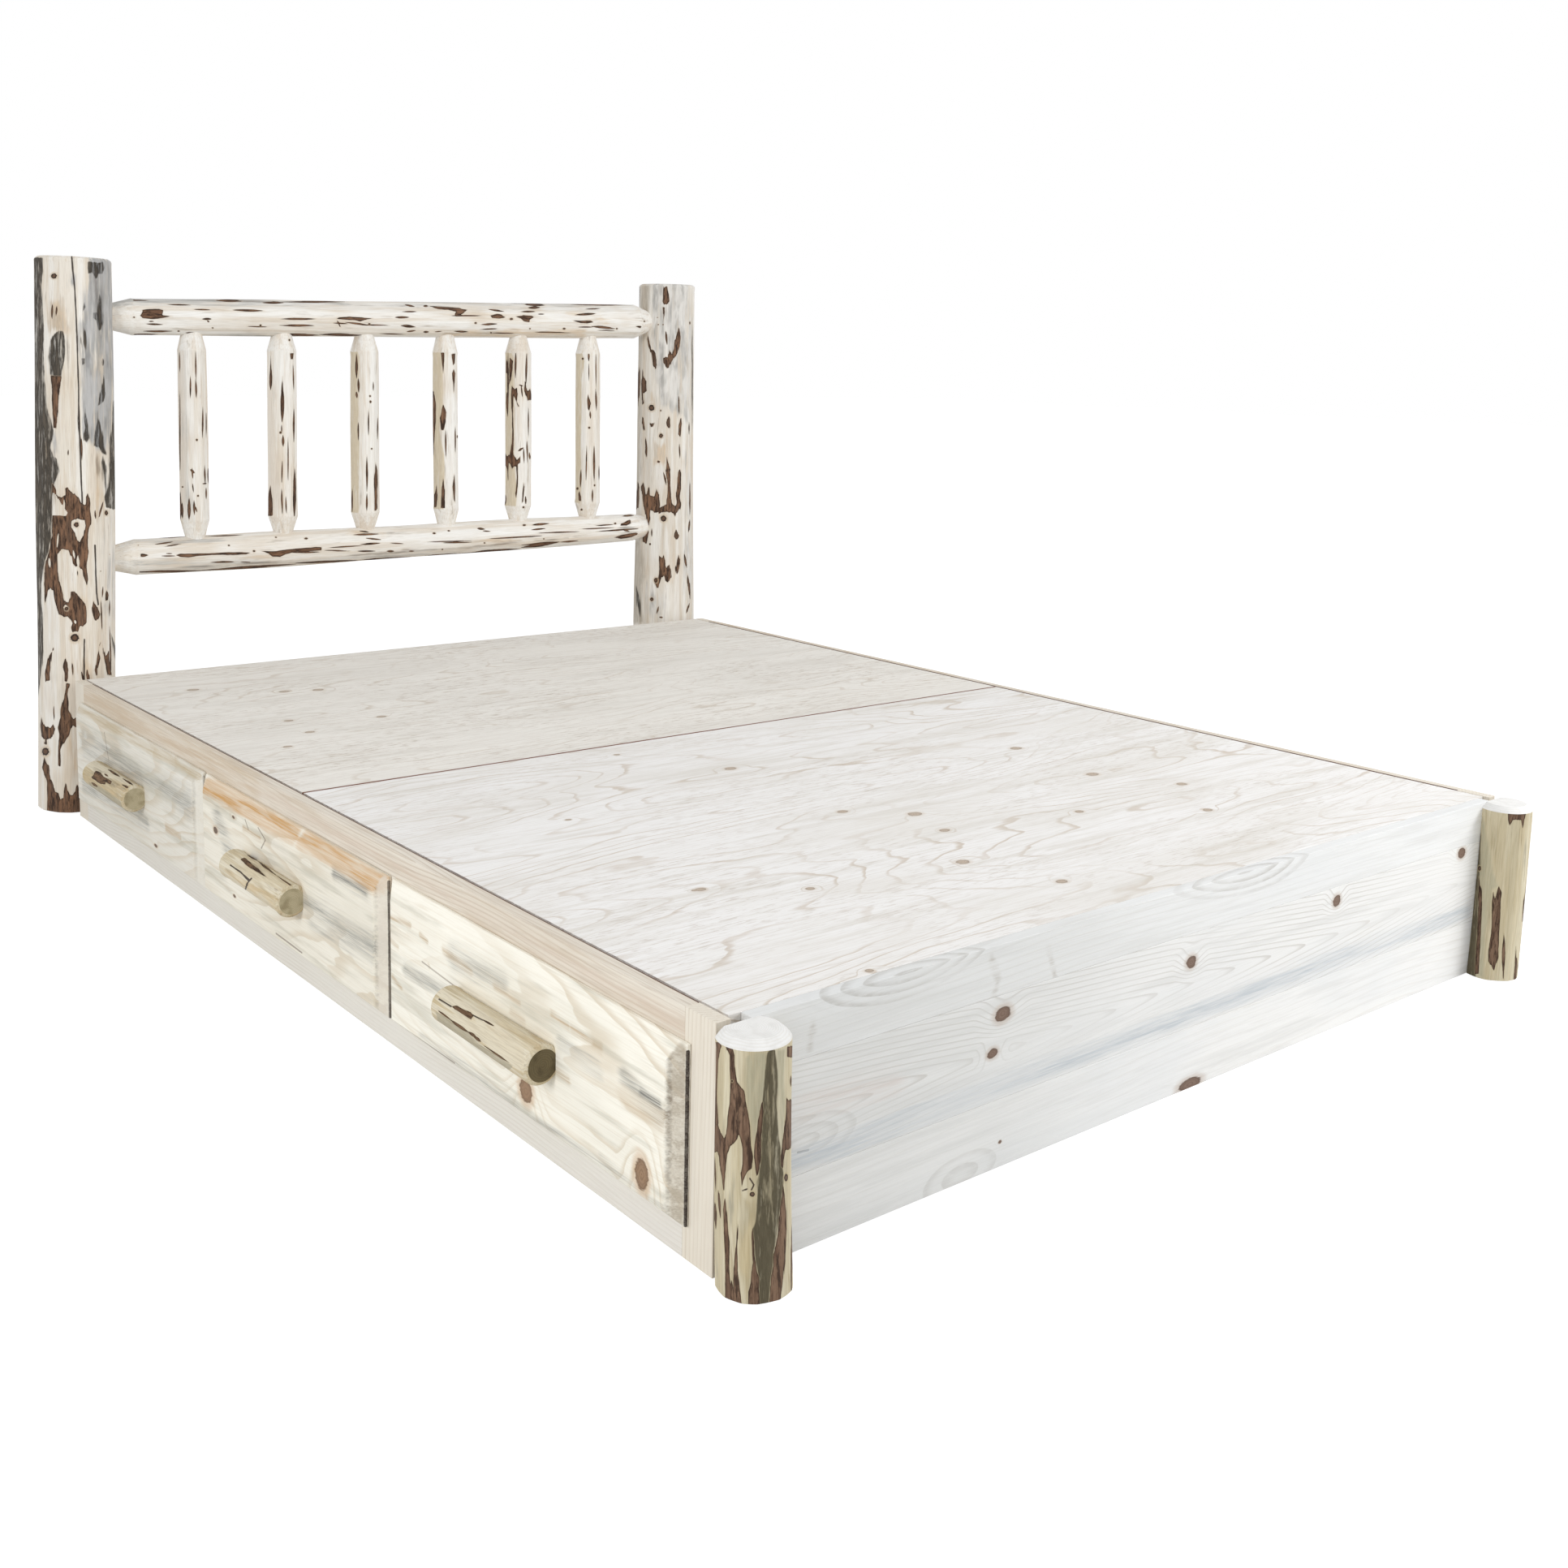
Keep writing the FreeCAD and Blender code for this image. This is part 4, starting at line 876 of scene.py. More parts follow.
def log_ground(t, field, grain, tones, ring_contrast, streaks):
    """Peeled wood by itself: pale ground, year rings that the draw knife laid bare, fibres and small brown
    flecks."""
    broad = t.noise(stretched(t, field, 0.10), 30.0, 3.0, 0.55)
    patch = t.noise(field, 9.0, 2.0, 0.5)
    wander = t.math("MULTIPLY", t.noise(stretched(t, field, 0.25), 14.0, 1.0), 0.011)
    reach = t.math("ADD", t.vector("LENGTH", t.vector("MULTIPLY", grain, ACROSS)), wander)
    late = t.late_wood(reach, 0.0034, 0.35, 0.9, 0.93)
    fibre = t.noise(stretched(t, field, 0.03), 420.0, 4.0, 0.6)
    fleck = t.noise(stretched(t, field, 0.06), 240.0, 2.0, 0.5)
    few = t.noise(stretched(t, field, 0.4), 22.0, 2.0, 0.5)
    scrape = t.noise(stretched(t, field, 0.05), 62.0, 3.0, 0.6)
    colour = t.mix(t.fit(broad, 0.36, 0.66), tones["pale"], tones["warm"])
    colour = t.mix(t.fit(scrape, 0.53, 0.58, 0.0, 0.75 * streaks), colour, tones["scrape"])
    colour = t.mix(t.fit(scrape, 0.46, 0.42, 0.0, 0.45 * streaks), colour, tones["tan"])
    colour = t.mix(t.math("MULTIPLY", t.fit(patch, 0.5, 0.75), 0.25), colour, tones["tan"])
    colour = t.mix(t.math("MULTIPLY", late, ring_contrast), colour, tones["tan"])
    colour = t.mix(t.math("MULTIPLY", t.fit(fibre, 0.52, 0.72), 0.16 * streaks), colour, tones["dark"])
    share = t.math("MULTIPLY", t.fit(fleck, 0.64, 0.72), t.fit(few, 0.40, 0.62))
    return t.mix(t.math("MULTIPLY", share, 0.55 * streaks), colour, tones["fleck"]), fibre, late


FINE_SHADE = (0.55, 0.50, 0.44)


def peeled_wood(name, tones, ring_contrast=0.08, streaks=0.6, fray=1.0):
    """Peeled log: its ground, soft tan, grey and dark patches that are mostly stains, crisp films of weathered
    inner bark, brown bark left on, knots and drying cracks. The film and veil patches are also painted shade,
    on the sides of the spindles and posts turned from the light and on the pulls' undersides, and the dark
    patches down the head posts' left edges are painted shade. Fray is how ragged the bark's edges are."""
    t = material_tree(name)
    field = t.attribute("field", "Vector")
    colour, fibre, late = log_ground(t, field, t.attribute("grain", "Vector"), tones, ring_contrast, streaks)
    streak = t.noise(stretched(t, field, 0.07), 95.0, 4.0, 0.62)
    blot = t.noise(stretched(t, field, 0.3), 48.0, 3.0, 0.55)
    # Soft tan, grey and dark patches: mostly stains, but the dark strokes down the head posts' left edges are
    # painted shade.
    for attribute, most in (("tan", 0.75), ("grey", 1.0), ("dark", 0.65)):
        soft = swing(t, streak, 2.6, swing(t, blot, 1.6, t.attribute(attribute)))
        tone = t.mix(t.fit(blot, 0.36, 0.6), shaded(tones[attribute], 0.66), shaded(tones[attribute], 1.14))
        colour = t.mix(t.fit(soft, 0.30, 1.15, 0.0, most), colour, tone)

    ragged = t.noise(stretched(t, field, 0.14), 230.0, 3.0, 0.6)
    frayed = t.noise(stretched(t, field, 0.09), 120.0, 2.0, 0.5)
    mottle = t.noise(stretched(t, field, 0.12), 150.0, 4.0, 0.68)
    # Veil and film: weathered inner bark, and also painted shade on the sides turned from the light and on the
    # pulls' undersides.
    depth = swing(t, streak, 5.0, swing(t, ragged, 3.0, t.attribute("veil")))
    veil = t.fit(depth, -1.4, 3.6, 0.0, 0.88)
    colour = t.mix(t.math("MULTIPLY", veil, t.fit(mottle, 0.30, 0.6, 0.35, 1.0)), colour, tones["veil"])
    depth = swing(t, frayed, 3.0, swing(t, ragged, 3.6, t.attribute("film")))
    film = t.math("MULTIPLY", t.fit(depth, -0.5, 1.2), t.fit(mottle, 0.34, 0.52, 0.45, 1.0))
    film_and_shade_tone = t.mix(t.fit(mottle, 0.38, 0.7), tones["film"], tones["film_light"])
    colour = t.mix(film, colour, film_and_shade_tone)

    depth = swing(t, frayed, 3.2 * fray, swing(t, ragged, 3.0 * fray, t.attribute("bark")))
    bark = t.fit(depth, -0.15, 0.3)
    bark_tone = t.mix(t.fit(mottle, 0.36, 0.64), tones["bark"], tones["bark_light"])
    scaly = t.noise(stretched(t, field, 0.16), 210.0, 4.0, 0.7)
    bark_tone = t.mix(t.fit(scaly, 0.46, 0.62, 0.0, 0.9), bark_tone, tones["bark_dark"])
    bark_tone = t.mix(t.fit(depth, 1.8, 0.3, 0.0, 0.75), bark_tone, tones["bark_dark"])
    colour = t.mix(t.math("MULTIPLY", t.fit(depth, -1.3, -0.1), 0.3), colour, tones["tan"])
    colour = t.mix(bark, colour, bark_tone)

    near = swing(t, t.noise(field, 330.0, 2.0), 0.55, t.attribute("knot"))
    colour = t.mix(t.fit(near, 1.9, 1.0, 0.0, 0.6), colour, tones["tan"])
    knot = t.fit(near, 1.05, 0.88)
    colour = t.mix(knot, colour, tones["bark_dark"])
    colour = t.mix(t.math("MULTIPLY", t.fit(near, 0.75, 0.4), 0.45), colour, tones["bark_light"])
    crack = t.fit(swing(t, ragged, 1.4, t.attribute("crack")), 1.25, 0.6)
    colour = t.mix(t.math("MULTIPLY", crack, 0.95), colour, tones["bark_dark"])

    fine = t.noise(stretched(t, field, 0.04), 640.0, 3.0, 0.6)
    colour = t.mix(t.fit(fine, 0.42, 0.66, 0.0, 0.35 * streaks), colour, FINE_SHADE, "MULTIPLY")
    rough = t.fit(t.math("MAXIMUM", bark, film), 0.0, 1.0, 0.6, 0.85)
    height = t.math("MULTIPLY", fibre, 0.12)
    height = t.math("MULTIPLY_ADD", bark, 0.55, height)
    height = t.math("MULTIPLY_ADD", t.math("MULTIPLY", bark, mottle), 0.5, height)
    height = t.math("MULTIPLY_ADD", film, 0.15, height)
    height = t.math("MULTIPLY_ADD", late, 0.04, height)
    height = t.math("MULTIPLY_ADD", t.math("MAXIMUM", knot, crack), -0.8, height)
    return t.finish(colour, rough, height, 0.0011, 0.7, 0.25)


def sawn_end(name, pale, late_tone, dark, smudge):
    """Sawn end of a log: year rings round the pith, drying checks and saw marks."""
    t = material_tree(name)
    field = t.attribute("field", "Vector")
    wander = t.math("MULTIPLY", t.noise(field, 40.0, 2.0), 0.004)
    from_pith = t.vector("LENGTH", t.vector("MULTIPLY", t.attribute("grain", "Vector"), ACROSS))
    late = t.late_wood(t.math("ADD", from_pith, wander), 0.0026, 0.3, 0.9, 0.92)
    colour = t.mix(t.math("MULTIPLY", late, 0.4), pale, late_tone)
    colour = t.mix(t.math("MULTIPLY", t.fit(t.noise(field, 60.0, 4.0), 0.42, 0.7), smudge), colour, dark)
    colour = t.mix(t.fit(t.attribute("crack"), 1.1, 0.5), colour, shaded(dark, 0.3))
    saw = t.noise(t.vector("MULTIPLY", field, (1.0, 0.05, 1.0)), 500.0, 2.0)
    height = t.math("MULTIPLY_ADD", late, 0.3, saw)
    return t.finish(colour, 0.8, height, 0.0005, 0.6, 0.2)


GRAIN_ORDER = {"x": (1, 2, 0), "y": (0, 2, 1), "z": (0, 1, 2)}
ARCH_PITCH = 0.0100


class Board:
    """A sawn board's material. Places are turned so that the third axis runs along the grain."""

    def __init__(self, name, axis, seed=0.0):
        self.t = t = material_tree(name)
        self.place = t.add("TexCoord").outputs["Object"]
        parts = t.add("SeparateXYZ", Vector=self.place).outputs
        order = GRAIN_ORDER[axis]
        turned = t.add("CombineXYZ", _0=parts[order[0]], _1=parts[order[1]], _2=parts[order[2]])
        self.turned = turned.outputs[0]
        self.moved = t.vector("ADD", self.turned, (seed * 1.7, seed * 2.3, seed * 3.1))
        self.cloud = self.grain_noise(0.35, 7.0, 4.0, 0.55)
        self.pores = self.grain_noise(0.05, 160.0, 3.0, 0.6)
        self.ragged = self.grain_noise(0.3, 210.0, 3.0, 0.6)
        self.streak = self.grain_noise(0.07, 48.0, 4.0, 0.6)
        self.fibre = self.grain_noise(0.025, 520.0, 4.0, 0.62)
        self.height = t.math("MULTIPLY", self.fibre, 0.5)

    def grain_noise(self, length, scale, detail=2.0, roughness=0.5, colour=False):
        return self.t.noise(stretched(self.t, self.moved, length), scale, detail, roughness, colour)

    def bent(self, wander):
        """Turned places swayed slowly and finely across the grain."""
        t = self.t
        slow = t.noise(t.vector("MULTIPLY", self.moved, (0.8, 0.8, 1.0)), 1.6, 1.0, colour=True)
        fine = self.grain_noise(0.3, 16.0, 2.0, colour=True)
        place = self.turned
        for noise, amount in ((slow, wander * 3), (fine, wander * 0.22)):
            away = t.vector("SUBTRACT", noise, MIDDLE_NOISE)
            place = t.vector("ADD", place, t.vector("MULTIPLY", away, (amount, amount, 0.0)))
        return place

    def trunk(self, pith, wander=0.02):
        """Year rings of a trunk whose pith runs beside the board."""
        t = self.t
        away = t.vector("SUBTRACT", self.bent(wander), (pith[0], pith[1], 0.0))
        return t.vector("LENGTH", t.vector("MULTIPLY", away, ACROSS))

    def peeled_sheet(self, width):
        """Broad wandering figure of a veneer cut round the trunk."""
        t = self.t
        reach = t.math("MULTIPLY", self.grain_noise(0.22, 3.2, 2.5, 0.45), width)
        return t.math("MULTIPLY_ADD", self.grain_noise(0.3, 26.0), 0.012, reach)

    def arches(self, colour, arches, tone):
        """Nested arches, as where a saw cuts a trunk's taper. An arch is its centre, its stretch along the
        grain, its reach across and how strong it is."""
        t = self.t
        bent = self.bent(0.030)
        for centre, stretch, most, share in arches:
            away = t.vector("SUBTRACT", bent, centre)
            reach = t.vector("LENGTH", t.vector("MULTIPLY", away, (1.0, 1.0, 1.0 / stretch)))
            late = t.late_wood(reach, ARCH_PITCH, 0.30, 0.92, 0.93)
            late = t.math("MULTIPLY", late, t.fit(reach, most, most * 0.8))
            broken = t.fit(self.cloud, 0.36, 0.56, 0.15, 1.0)
            broken = t.math("MULTIPLY", t.fit(self.ragged, 0.3, 0.6, 0.5, 1.0), broken)
            colour = t.mix(t.math("MULTIPLY", t.math("MULTIPLY", late, broken), share), colour, tone)
        return colour

    def tongues(self, line, taper, wander=0.02):
        """Long pointed tongues of year rings along the grain, with their tips on a line across the board."""
        t = self.t
        bent = self.bent(wander)
        parts = t.add("SeparateXYZ", Vector=bent).outputs
        across = t.math("SUBTRACT", parts[1], line)
        reach = t.math("SQRT", t.math("MULTIPLY_ADD", across, across, 0.00004))
        return t.math("MULTIPLY_ADD", parts[2], taper, reach)

    def round_knots(self, reach, knots):
        """Adds each knot's swelling to the rings."""
        t = self.t
        for shapes, _, _ in knots:
            size = sum(min(half_sizes) for _, half_sizes in shapes) / len(shapes)
            reach = t.math("ADD", reach, t.fit(self.nearest(shapes), 0.5, 4.0, size * 1.6, 0.0))
        return reach

    def rings(self, colour, reach, tone, pitch, contrast, soft):
        t = self.t
        late = t.late_wood(reach, pitch, soft, 0.93, 0.955)
        strength = t.fit(self.grain_noise(0.25, 9.0, 3.0), 0.35, 0.66, contrast * 0.2, contrast)
        self.height = t.math("MULTIPLY_ADD", late, 0.35, self.height)
        return t.mix(t.math("MULTIPLY", late, strength), colour, tone)

    def fibres(self, colour, tone, share):
        t = self.t
        fibre = self.grain_noise(0.02, 420.0, 4.0, 0.62)
        colour = t.mix(t.math("MULTIPLY", t.fit(fibre, 0.45, 0.75), share), colour, tone)
        return t.mix(t.math("MULTIPLY", t.fit(self.pores, 0.58, 0.78), share * 0.9), colour, tone)

    def short_flecks(self, colour, tone, share):
        """Short broken strokes where the veneer cut through the year rings, thicker in some places than in
        others."""
        t = self.t
        fleck = t.fit(self.grain_noise(0.13, 300.0, 3.0, 0.6), 0.53, 0.66)
        crowd = t.fit(self.grain_noise(0.5, 5.0, 3.0, 0.6), 0.38, 0.62, 0.25, 1.0)
        return t.mix(t.math("MULTIPLY", t.math("MULTIPLY", fleck, crowd), share), colour, tone)

    def nearest(self, shapes):
        """Distance to the nearest shape as a share of its size. A shape is a place and its half sizes, or a
        line's two ends and its half width."""
        t = self.t
        best = None
        for shape in shapes:
            if len(shape) == 2:
                centre, size = shape
                q = t.vector("LENGTH", t.vector("DIVIDE", t.vector("SUBTRACT", self.place, centre), size))
            else:
                q = self.line_share(*shape)
            best = q if best is None else t.math("MINIMUM", best, q)
        return best

    def line_share(self, start, end, width):
        t = self.t
        run = Vector(end) - Vector(start)
        away = t.vector("SUBTRACT", self.place, tuple(start))
        share = t.vector("DOT_PRODUCT", away, tuple(run / run.length_squared))
        share = t.math("MULTIPLY", share, 1.0, clamp=True)
        along = t.vector("SCALE", tuple(run), share)
        return t.math("DIVIDE", t.vector("LENGTH", t.vector("SUBTRACT", away, along)), width)

    def mark_stain_or_shade(self, colour, shapes, tone, share, fray):
        """One stain or one patch of painted shade, whose edge and inside the grain breaks up: the more fray,
        the softer and more broken.
        """
        t = self.t
        q = swing(t, self.cloud, 2.0 * fray, self.nearest(shapes))
        q = swing(t, self.pores, 1.8 * fray, q)
        q = swing(t, self.streak, 2.4 * fray, q)
        broken = t.fit(self.streak, 0.50 - 0.12 * fray, 0.50 + 0.06 * fray, 1.0 - 0.7 * fray, 1.0)
        broken = t.math("MULTIPLY", broken, t.fit(self.fibre, 0.38, 0.60, 1.0 - 0.6 * fray, 1.0))
        depth = t.fit(q, 1.05 + 0.25 * fray, 0.85 - 0.7 * fray, 0.0, share)
        return t.mix(t.math("MULTIPLY", depth, broken), colour, tone)

    def knots(self, colour, knots):
        """Each group's knots: a halo, a dark rim and a core with rings."""
        t = self.t
        for shapes, tone, ring_tone in knots:
            q = swing(t, self.ragged, 0.6, self.nearest(shapes))
            colour = t.mix(t.fit(q, 1.8, 1.0, 0.0, 0.5), colour, ring_tone)
            core = t.fit(q, 1.06, 0.84)
            colour = t.mix(t.math("MULTIPLY", core, 0.9), colour, tone)
            rim = t.math("MULTIPLY", core, t.fit(q, 0.62, 0.9))
            ring = t.fit(t.math("FRACT", t.math("MULTIPLY", q, 3.0)), 0.5, 0.9, 0.0, 0.6)
            ring = t.math("MULTIPLY", core, ring)
            dark = t.math("MULTIPLY", t.math("MAXIMUM", rim, ring), 0.6)
            colour = t.mix(dark, colour, shaded(tone, 0.45))
            self.height = t.math("MULTIPLY_ADD", core, -0.8, self.height)
        return colour

    def finish(self, colour):
        return self.t.finish(colour, 0.62, self.height, 0.0006, 0.5, 0.3)


def board_wood(name, axis, pale, late_tone, seed, pith=None, reach=None, pitch=0.0055, contrast=0.3, soft=0.5,
               fibre_tone=None, fibre_share=0.25, wash=None, wash_share=0.3, streak=None, streak_share=0.3,
               arches=(), arch_tone=None, flecks=None, knots=(), stains_and_shade=()):
    """Sawn board: year rings, fibres, washes in clouds and streaks, stains and painted shade, and knots that
    turn the grain. Reach makes the rings, or a pith beside the board does."""
    board = Board(name, axis, seed)
    rings = board.round_knots(reach(board) if reach else board.trunk(pith), knots)
    colour = board.rings(pale, rings, late_tone, pitch, contrast, soft)
    colour = board.arches(colour, arches, arch_tone)
    colour = board.fibres(colour, fibre_tone or late_tone, fibre_share)
    if wash:
        colour = board.t.mix(board.t.fit(board.cloud, 0.42, 0.68, 0.0, wash_share), colour, wash)
    if streak:
        colour = board.t.mix(board.t.fit(board.streak, 0.50, 0.66, 0.0, streak_share), colour, streak)
    if flecks:
        colour = board.short_flecks(colour, *flecks)
    for shapes, tone, share, fray in stains_and_shade:
        colour = board.mark_stain_or_shade(colour, shapes, tone, share, fray)
    return board.finish(board.knots(colour, knots))


# Camera, floor and light

WHITE = (1.0, 1.0, 1.0, 1.0)
WORLD_LEVEL = 0.67
WORLD_TONE = (0.975, 0.99, 1.0, 1.0)
FLOOR_GLOW = 0.86
FLOOR_VEIL = (0.34, 0.34, 0.34, 1.0)
FLOOR_TONE = (0.78, 0.78, 0.77, 1.0)
FLOOR_REACH = 30.0
FLOOR_GAP = 0.0005
LIGHT_SIZE = 1.6


def set_camera():
    data = bpy.data.cameras.new("camera")
    data.sensor_width = SENSOR
    data.lens = LENS
    data.shift_y = SHIFT_Y
    data.clip_start = 0.05
    camera = bpy.data.objects.new("camera", data)
    basis = Matrix((RIGHT, UP, -FORWARD)).transposed()
    camera.matrix_world = Matrix.Translation(EYE) @ basis.to_4x4()
    scene.collection.objects.link(camera)
    scene.camera = camera


def seen(t):
    """1 for rays that show the background: from the camera, in gloss and through glass."""
    path = t.add("LightPath").outputs
    shown = t.math("MAXIMUM", path["Is Camera Ray"], path["Is Glossy Ray"])
    return t.math("MAXIMUM", shown, path["Is Transmission Ray"])


def set_world():
    """Soft light from all round, behind a plain white background."""
    scene.world = bpy.data.worlds.new("studio")
    t = Tree(scene.world)
    soft = t.add("Background", Color=WORLD_TONE, Strength=WORLD_LEVEL)
    white = t.add("Background", Color=WHITE, Strength=1.0)
    t.output("World", t.add("MixShader", _0=seen(t), _1=soft.outputs[0], _2=white.outputs[0]))


def set_floor():
    """A white sweep: seen as white by the camera but for the bed's soft shadow."""
    t = material_tree("studio_floor")
    glow = t.add("Emission", Color=WHITE, Strength=FLOOR_GLOW)
    veil = t.add("BsdfDiffuse", Color=FLOOR_VEIL)
    both = t.add("AddShader", _0=glow.outputs[0], _1=veil.outputs[0])
    plain = t.add("BsdfDiffuse", Color=FLOOR_TONE)
    t.output("Material", t.add("MixShader", _0=seen(t), _1=plain.outputs[0], _2=both.outputs[0]))
    mesh = bpy.data.meshes.new("floor")
    corners = [(x * FLOOR_REACH, y * FLOOR_REACH, 0) for x, y in ((-1, -1), (1, -1), (1, 1), (-1, 1))]
    mesh.from_pydata(corners, [], [(0, 1, 2, 3)])
    mesh.materials.append(t.owner)
    floor = bpy.data.objects.new("floor", mesh)
    floor.location.z = -FLOOR_GAP
    scene.collection.objects.link(floor)


def add_light(name, place, target, power):
    data = bpy.data.lights.new(name, "AREA")
    data.shape = "DISK"
    data.size = LIGHT_SIZE
    data.energy = power
    light = bpy.data.objects.new(name, data)
    light.location = place
    light.rotation_euler = (Vector(target) - Vector(place)).to_track_quat("-Z", "Y").to_euler()
    scene.collection.objects.link(light)


# Colours, as screen values

def tones(**colours):
    return {name: rgb(*colour) for name, colour in colours.items()}


# The film and veil tones also colour the painted shade on the logs' shaded sides and the pulls' undersides; the
# posts' near-black film tone is partly painted shade.
LOG_TONES = tones(pale=(241, 238, 232), warm=(234, 227, 216), tan=(204, 182, 154), grey=(190, 188, 183),
                  dark=(118, 105, 93), fleck=(150, 124, 100), scrape=(247, 246, 243), film=(208, 193, 166),
                  film_light=(222, 211, 190), veil=(235, 226, 214), bark=(100, 73, 56),
                  bark_light=(138, 104, 80), bark_dark=(46, 34, 27))
POST_TONES = LOG_TONES | tones(pale=(230, 222, 209), film=(34, 32, 30), film_light=(98, 90, 80),
                               veil=(160, 148, 130), grey=(177, 176, 175), bark=(98, 77, 63))
GREY_POST_TONES = POST_TONES | tones(pale=(232, 227, 218), warm=(221, 213, 201), grey=(211, 208, 203),
                                     veil=(180, 170, 155))
FOOT_TONES = tones(pale=(206, 195, 167), warm=(192, 180, 150), tan=(184, 168, 132), grey=(180, 178, 164),
                   dark=(100, 90, 70), fleck=(140, 118, 88), scrape=(216, 208, 184), film=(78, 71, 54),
                   film_light=(102, 94, 75), veil=(176, 170, 145), bark=(104, 80, 64),
                   bark_light=(134, 108, 88), bark_dark=(58, 42, 32))
PULL_TONES = tones(pale=(216, 204, 177), warm=(200, 184, 150), tan=(192, 168, 126), grey=(180, 172, 150),
                   dark=(96, 84, 62), fleck=(140, 112, 78), scrape=(228, 220, 200), film=(172, 163, 140),
                   film_light=(196, 188, 168), veil=(196, 188, 168), bark=(100, 76, 56),
                   bark_light=(132, 104, 78), bark_dark=(50, 36, 26))

log_wood = peeled_wood("peeled_log_wood", LOG_TONES, fray=0.6)
post_woods = (peeled_wood("head_post_left_wood", POST_TONES),
              peeled_wood("head_post_right_wood", GREY_POST_TONES))
foot_wood = peeled_wood("foot_post_wood", FOOT_TONES, 0.05, 0.8)
pull_wood = peeled_wood("pull_log_wood", PULL_TONES, 0.12, 1.0)
white_end = sawn_end("white_sawn_end", rgb(238, 237, 235), rgb(222, 217, 208), rgb(206, 203, 198), 0.3)
tan_end = sawn_end("tan_sawn_end", rgb(190, 179, 150), rgb(160, 146, 116), rgb(134, 120, 90), 0.6)
dark_end = sawn_end("dark_sawn_end", rgb(110, 98, 72), rgb(82, 72, 52), rgb(64, 55, 38), 0.7)


def coned(seat, tenon, shoulder, steps=4):
    """Rows of a tenon's cone from its seat to the shoulder: a place and a radius each."""
    place, radius = shoulder
    return [(seat + (place - seat) * k / steps, tenon + (radius - tenon) * k / steps)
            for k in range(1, steps)]


def tenoned(length, depth, foot, tenon, radii, step=0.01):
    """Stations of a log with a coned tenon at both ends, and where its body starts and ends."""
    body = [(foot + (length - 2 * foot) * k / (len(radii) - 1), radius)
            for k, radius in enumerate(radii)]
    cone_low = coned(depth, tenon, body[0])
    cone_high = coned(length - depth, tenon, body[-1])[::-1]
    top = [(length - depth, tenon), (length, tenon)]
    rows = [(0.0, tenon), (depth, tenon)] + cone_low + body + cone_high + top
    first = 2 + len(cone_low)
    return eased(rows, first, first + len(body) - 1, step), (foot, length - foot)


def place_log(log, wood, node, body="frame", slot="peeled_log", end=None, ring=0, marks_of=None, **shape):
    """Puts a log in place of its node. The end material covers the caps and ring rows below the high one."""
    piece = log.build(wood, LOG_MARKS.get(marks_of or node, {}), **shape)
    if end:
        piece.data.materials.append(end)
        faces = len(piece.data.polygons)
        cap = len(CAP_SHARES) * log.columns
        ends = np.zeros(faces, np.int32)
        ends[:cap] = 1
        ends[faces - 2 - cap - ring * log.columns:] = 1
        piece.data.polygons.foreach_set("material_index", ends)
    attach(piece, body)
    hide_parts(node)
    return piece


def towards_camera(place):
    return (EYE.x - place[0], EYE.y - place[1], 0.0)


# Where the bed's pieces lie, in metres, as in the frame
HEADBOARD_Y = 1.1195
FOOT_POST_X, FOOT_POST_Y = 0.757, -1.1595
PLATFORM_TOP = 0.279
PULL_X, PULL_Z = 0.817, 0.143

# The logs: name, foot, top, radius, its shares from foot to top, bend in mm at foot, middle and top, seed
HEAD_POSTS = (
    ("head_post_left", (-0.747, HEADBOARD_Y, 0.0), (-0.727, HEADBOARD_Y, 1.120), 0.080,
     (0.95, 0.93, 0.945, 0.94, 0.9), (-9.0, -3.0, 1.0), 11),
    ("head_post_right", (0.739, HEADBOARD_Y, 0.0), (0.735, HEADBOARD_Y, 1.132), 0.080,
     (0.995, 1.0, 0.92, 0.905, 0.89), (-9.0, -9.0, -7.0), 12),
)
RAILS = (
    ("head_rail_upper", (-0.6972, HEADBOARD_Y, 1.0141), (0.7037, HEADBOARD_Y, 1.0309), 0.042,
     (0.895, 0.93, 0.955, 0.985, 1.0), (-9.0, -1.0, 7.0), 21),
    ("head_rail_lower", (-0.7059, HEADBOARD_Y, 0.510), (0.7052, HEADBOARD_Y, 0.510), 0.041,
     (0.915, 1.0, 0.935, 0.97, 0.84), (0.0, 1.0, 6.0), 22),
)
RAIL_TENON, RAIL_TENON_DEPTH, RAIL_SHOULDER = 0.026, 0.036, 0.082
SPINDLE_RADIUS = 0.0325
SPINDLE_TENON, SPINDLE_TENON_DEPTH, SPINDLE_SHOULDER = 0.020, 0.024, 0.063
SPINDLE_SIZES = (0.93, 1.0, 1.0, 0.925, 1.0, 0.975)
SPINDLE_SHARES = (0.985, 0.97, 1.0, 0.98, 0.955)
SPINDLE_BENDS = ((-4.0, 0.0), (-6.0, 0.0), (-8.0, -4.0), (0.0, 0.0), (-4.0, -2.0), (-2.0, -2.0))
FOOT_RADIUS, FOOT_FLAT = 0.040, 0.020
FOOT_SHARES = (1.03, 1.015, 0.99, 0.985)
PULL_RADIUS, PULL_FLAT = 0.025, 0.017
PULL_SHARES = (1.0, 0.985, 0.97, 0.955)
# Rounded ends: how far below the end the round starts, and rows of a place below the end and how far it lies
# inside the log's radius
POST_ROUND, POST_ROUND_ROWS = 0.007, ((0.0035, 0.0016), (0.0, 0.0065))
FOOT_ROUND, FOOT_ROUND_ROWS = 0.009, ((0.005, 0.0035), (0.002, 0.007), (0.0, 0.0095))
PULL_ROUND, PULL_ROUND_ROWS = 0.005, ((0.002, 0.002), (0.0, 0.0055))
# Nothing fades out at the sawn foot of a post, so its hewn part starts below the floor
BELOW_FLOOR = -1.0
# How far the columns of a log's mesh crowd towards its front
CROWD = 0.45


def rounded_end(length, radius, rows):
    return [(length - below, radius - inside) for below, inside in rows]


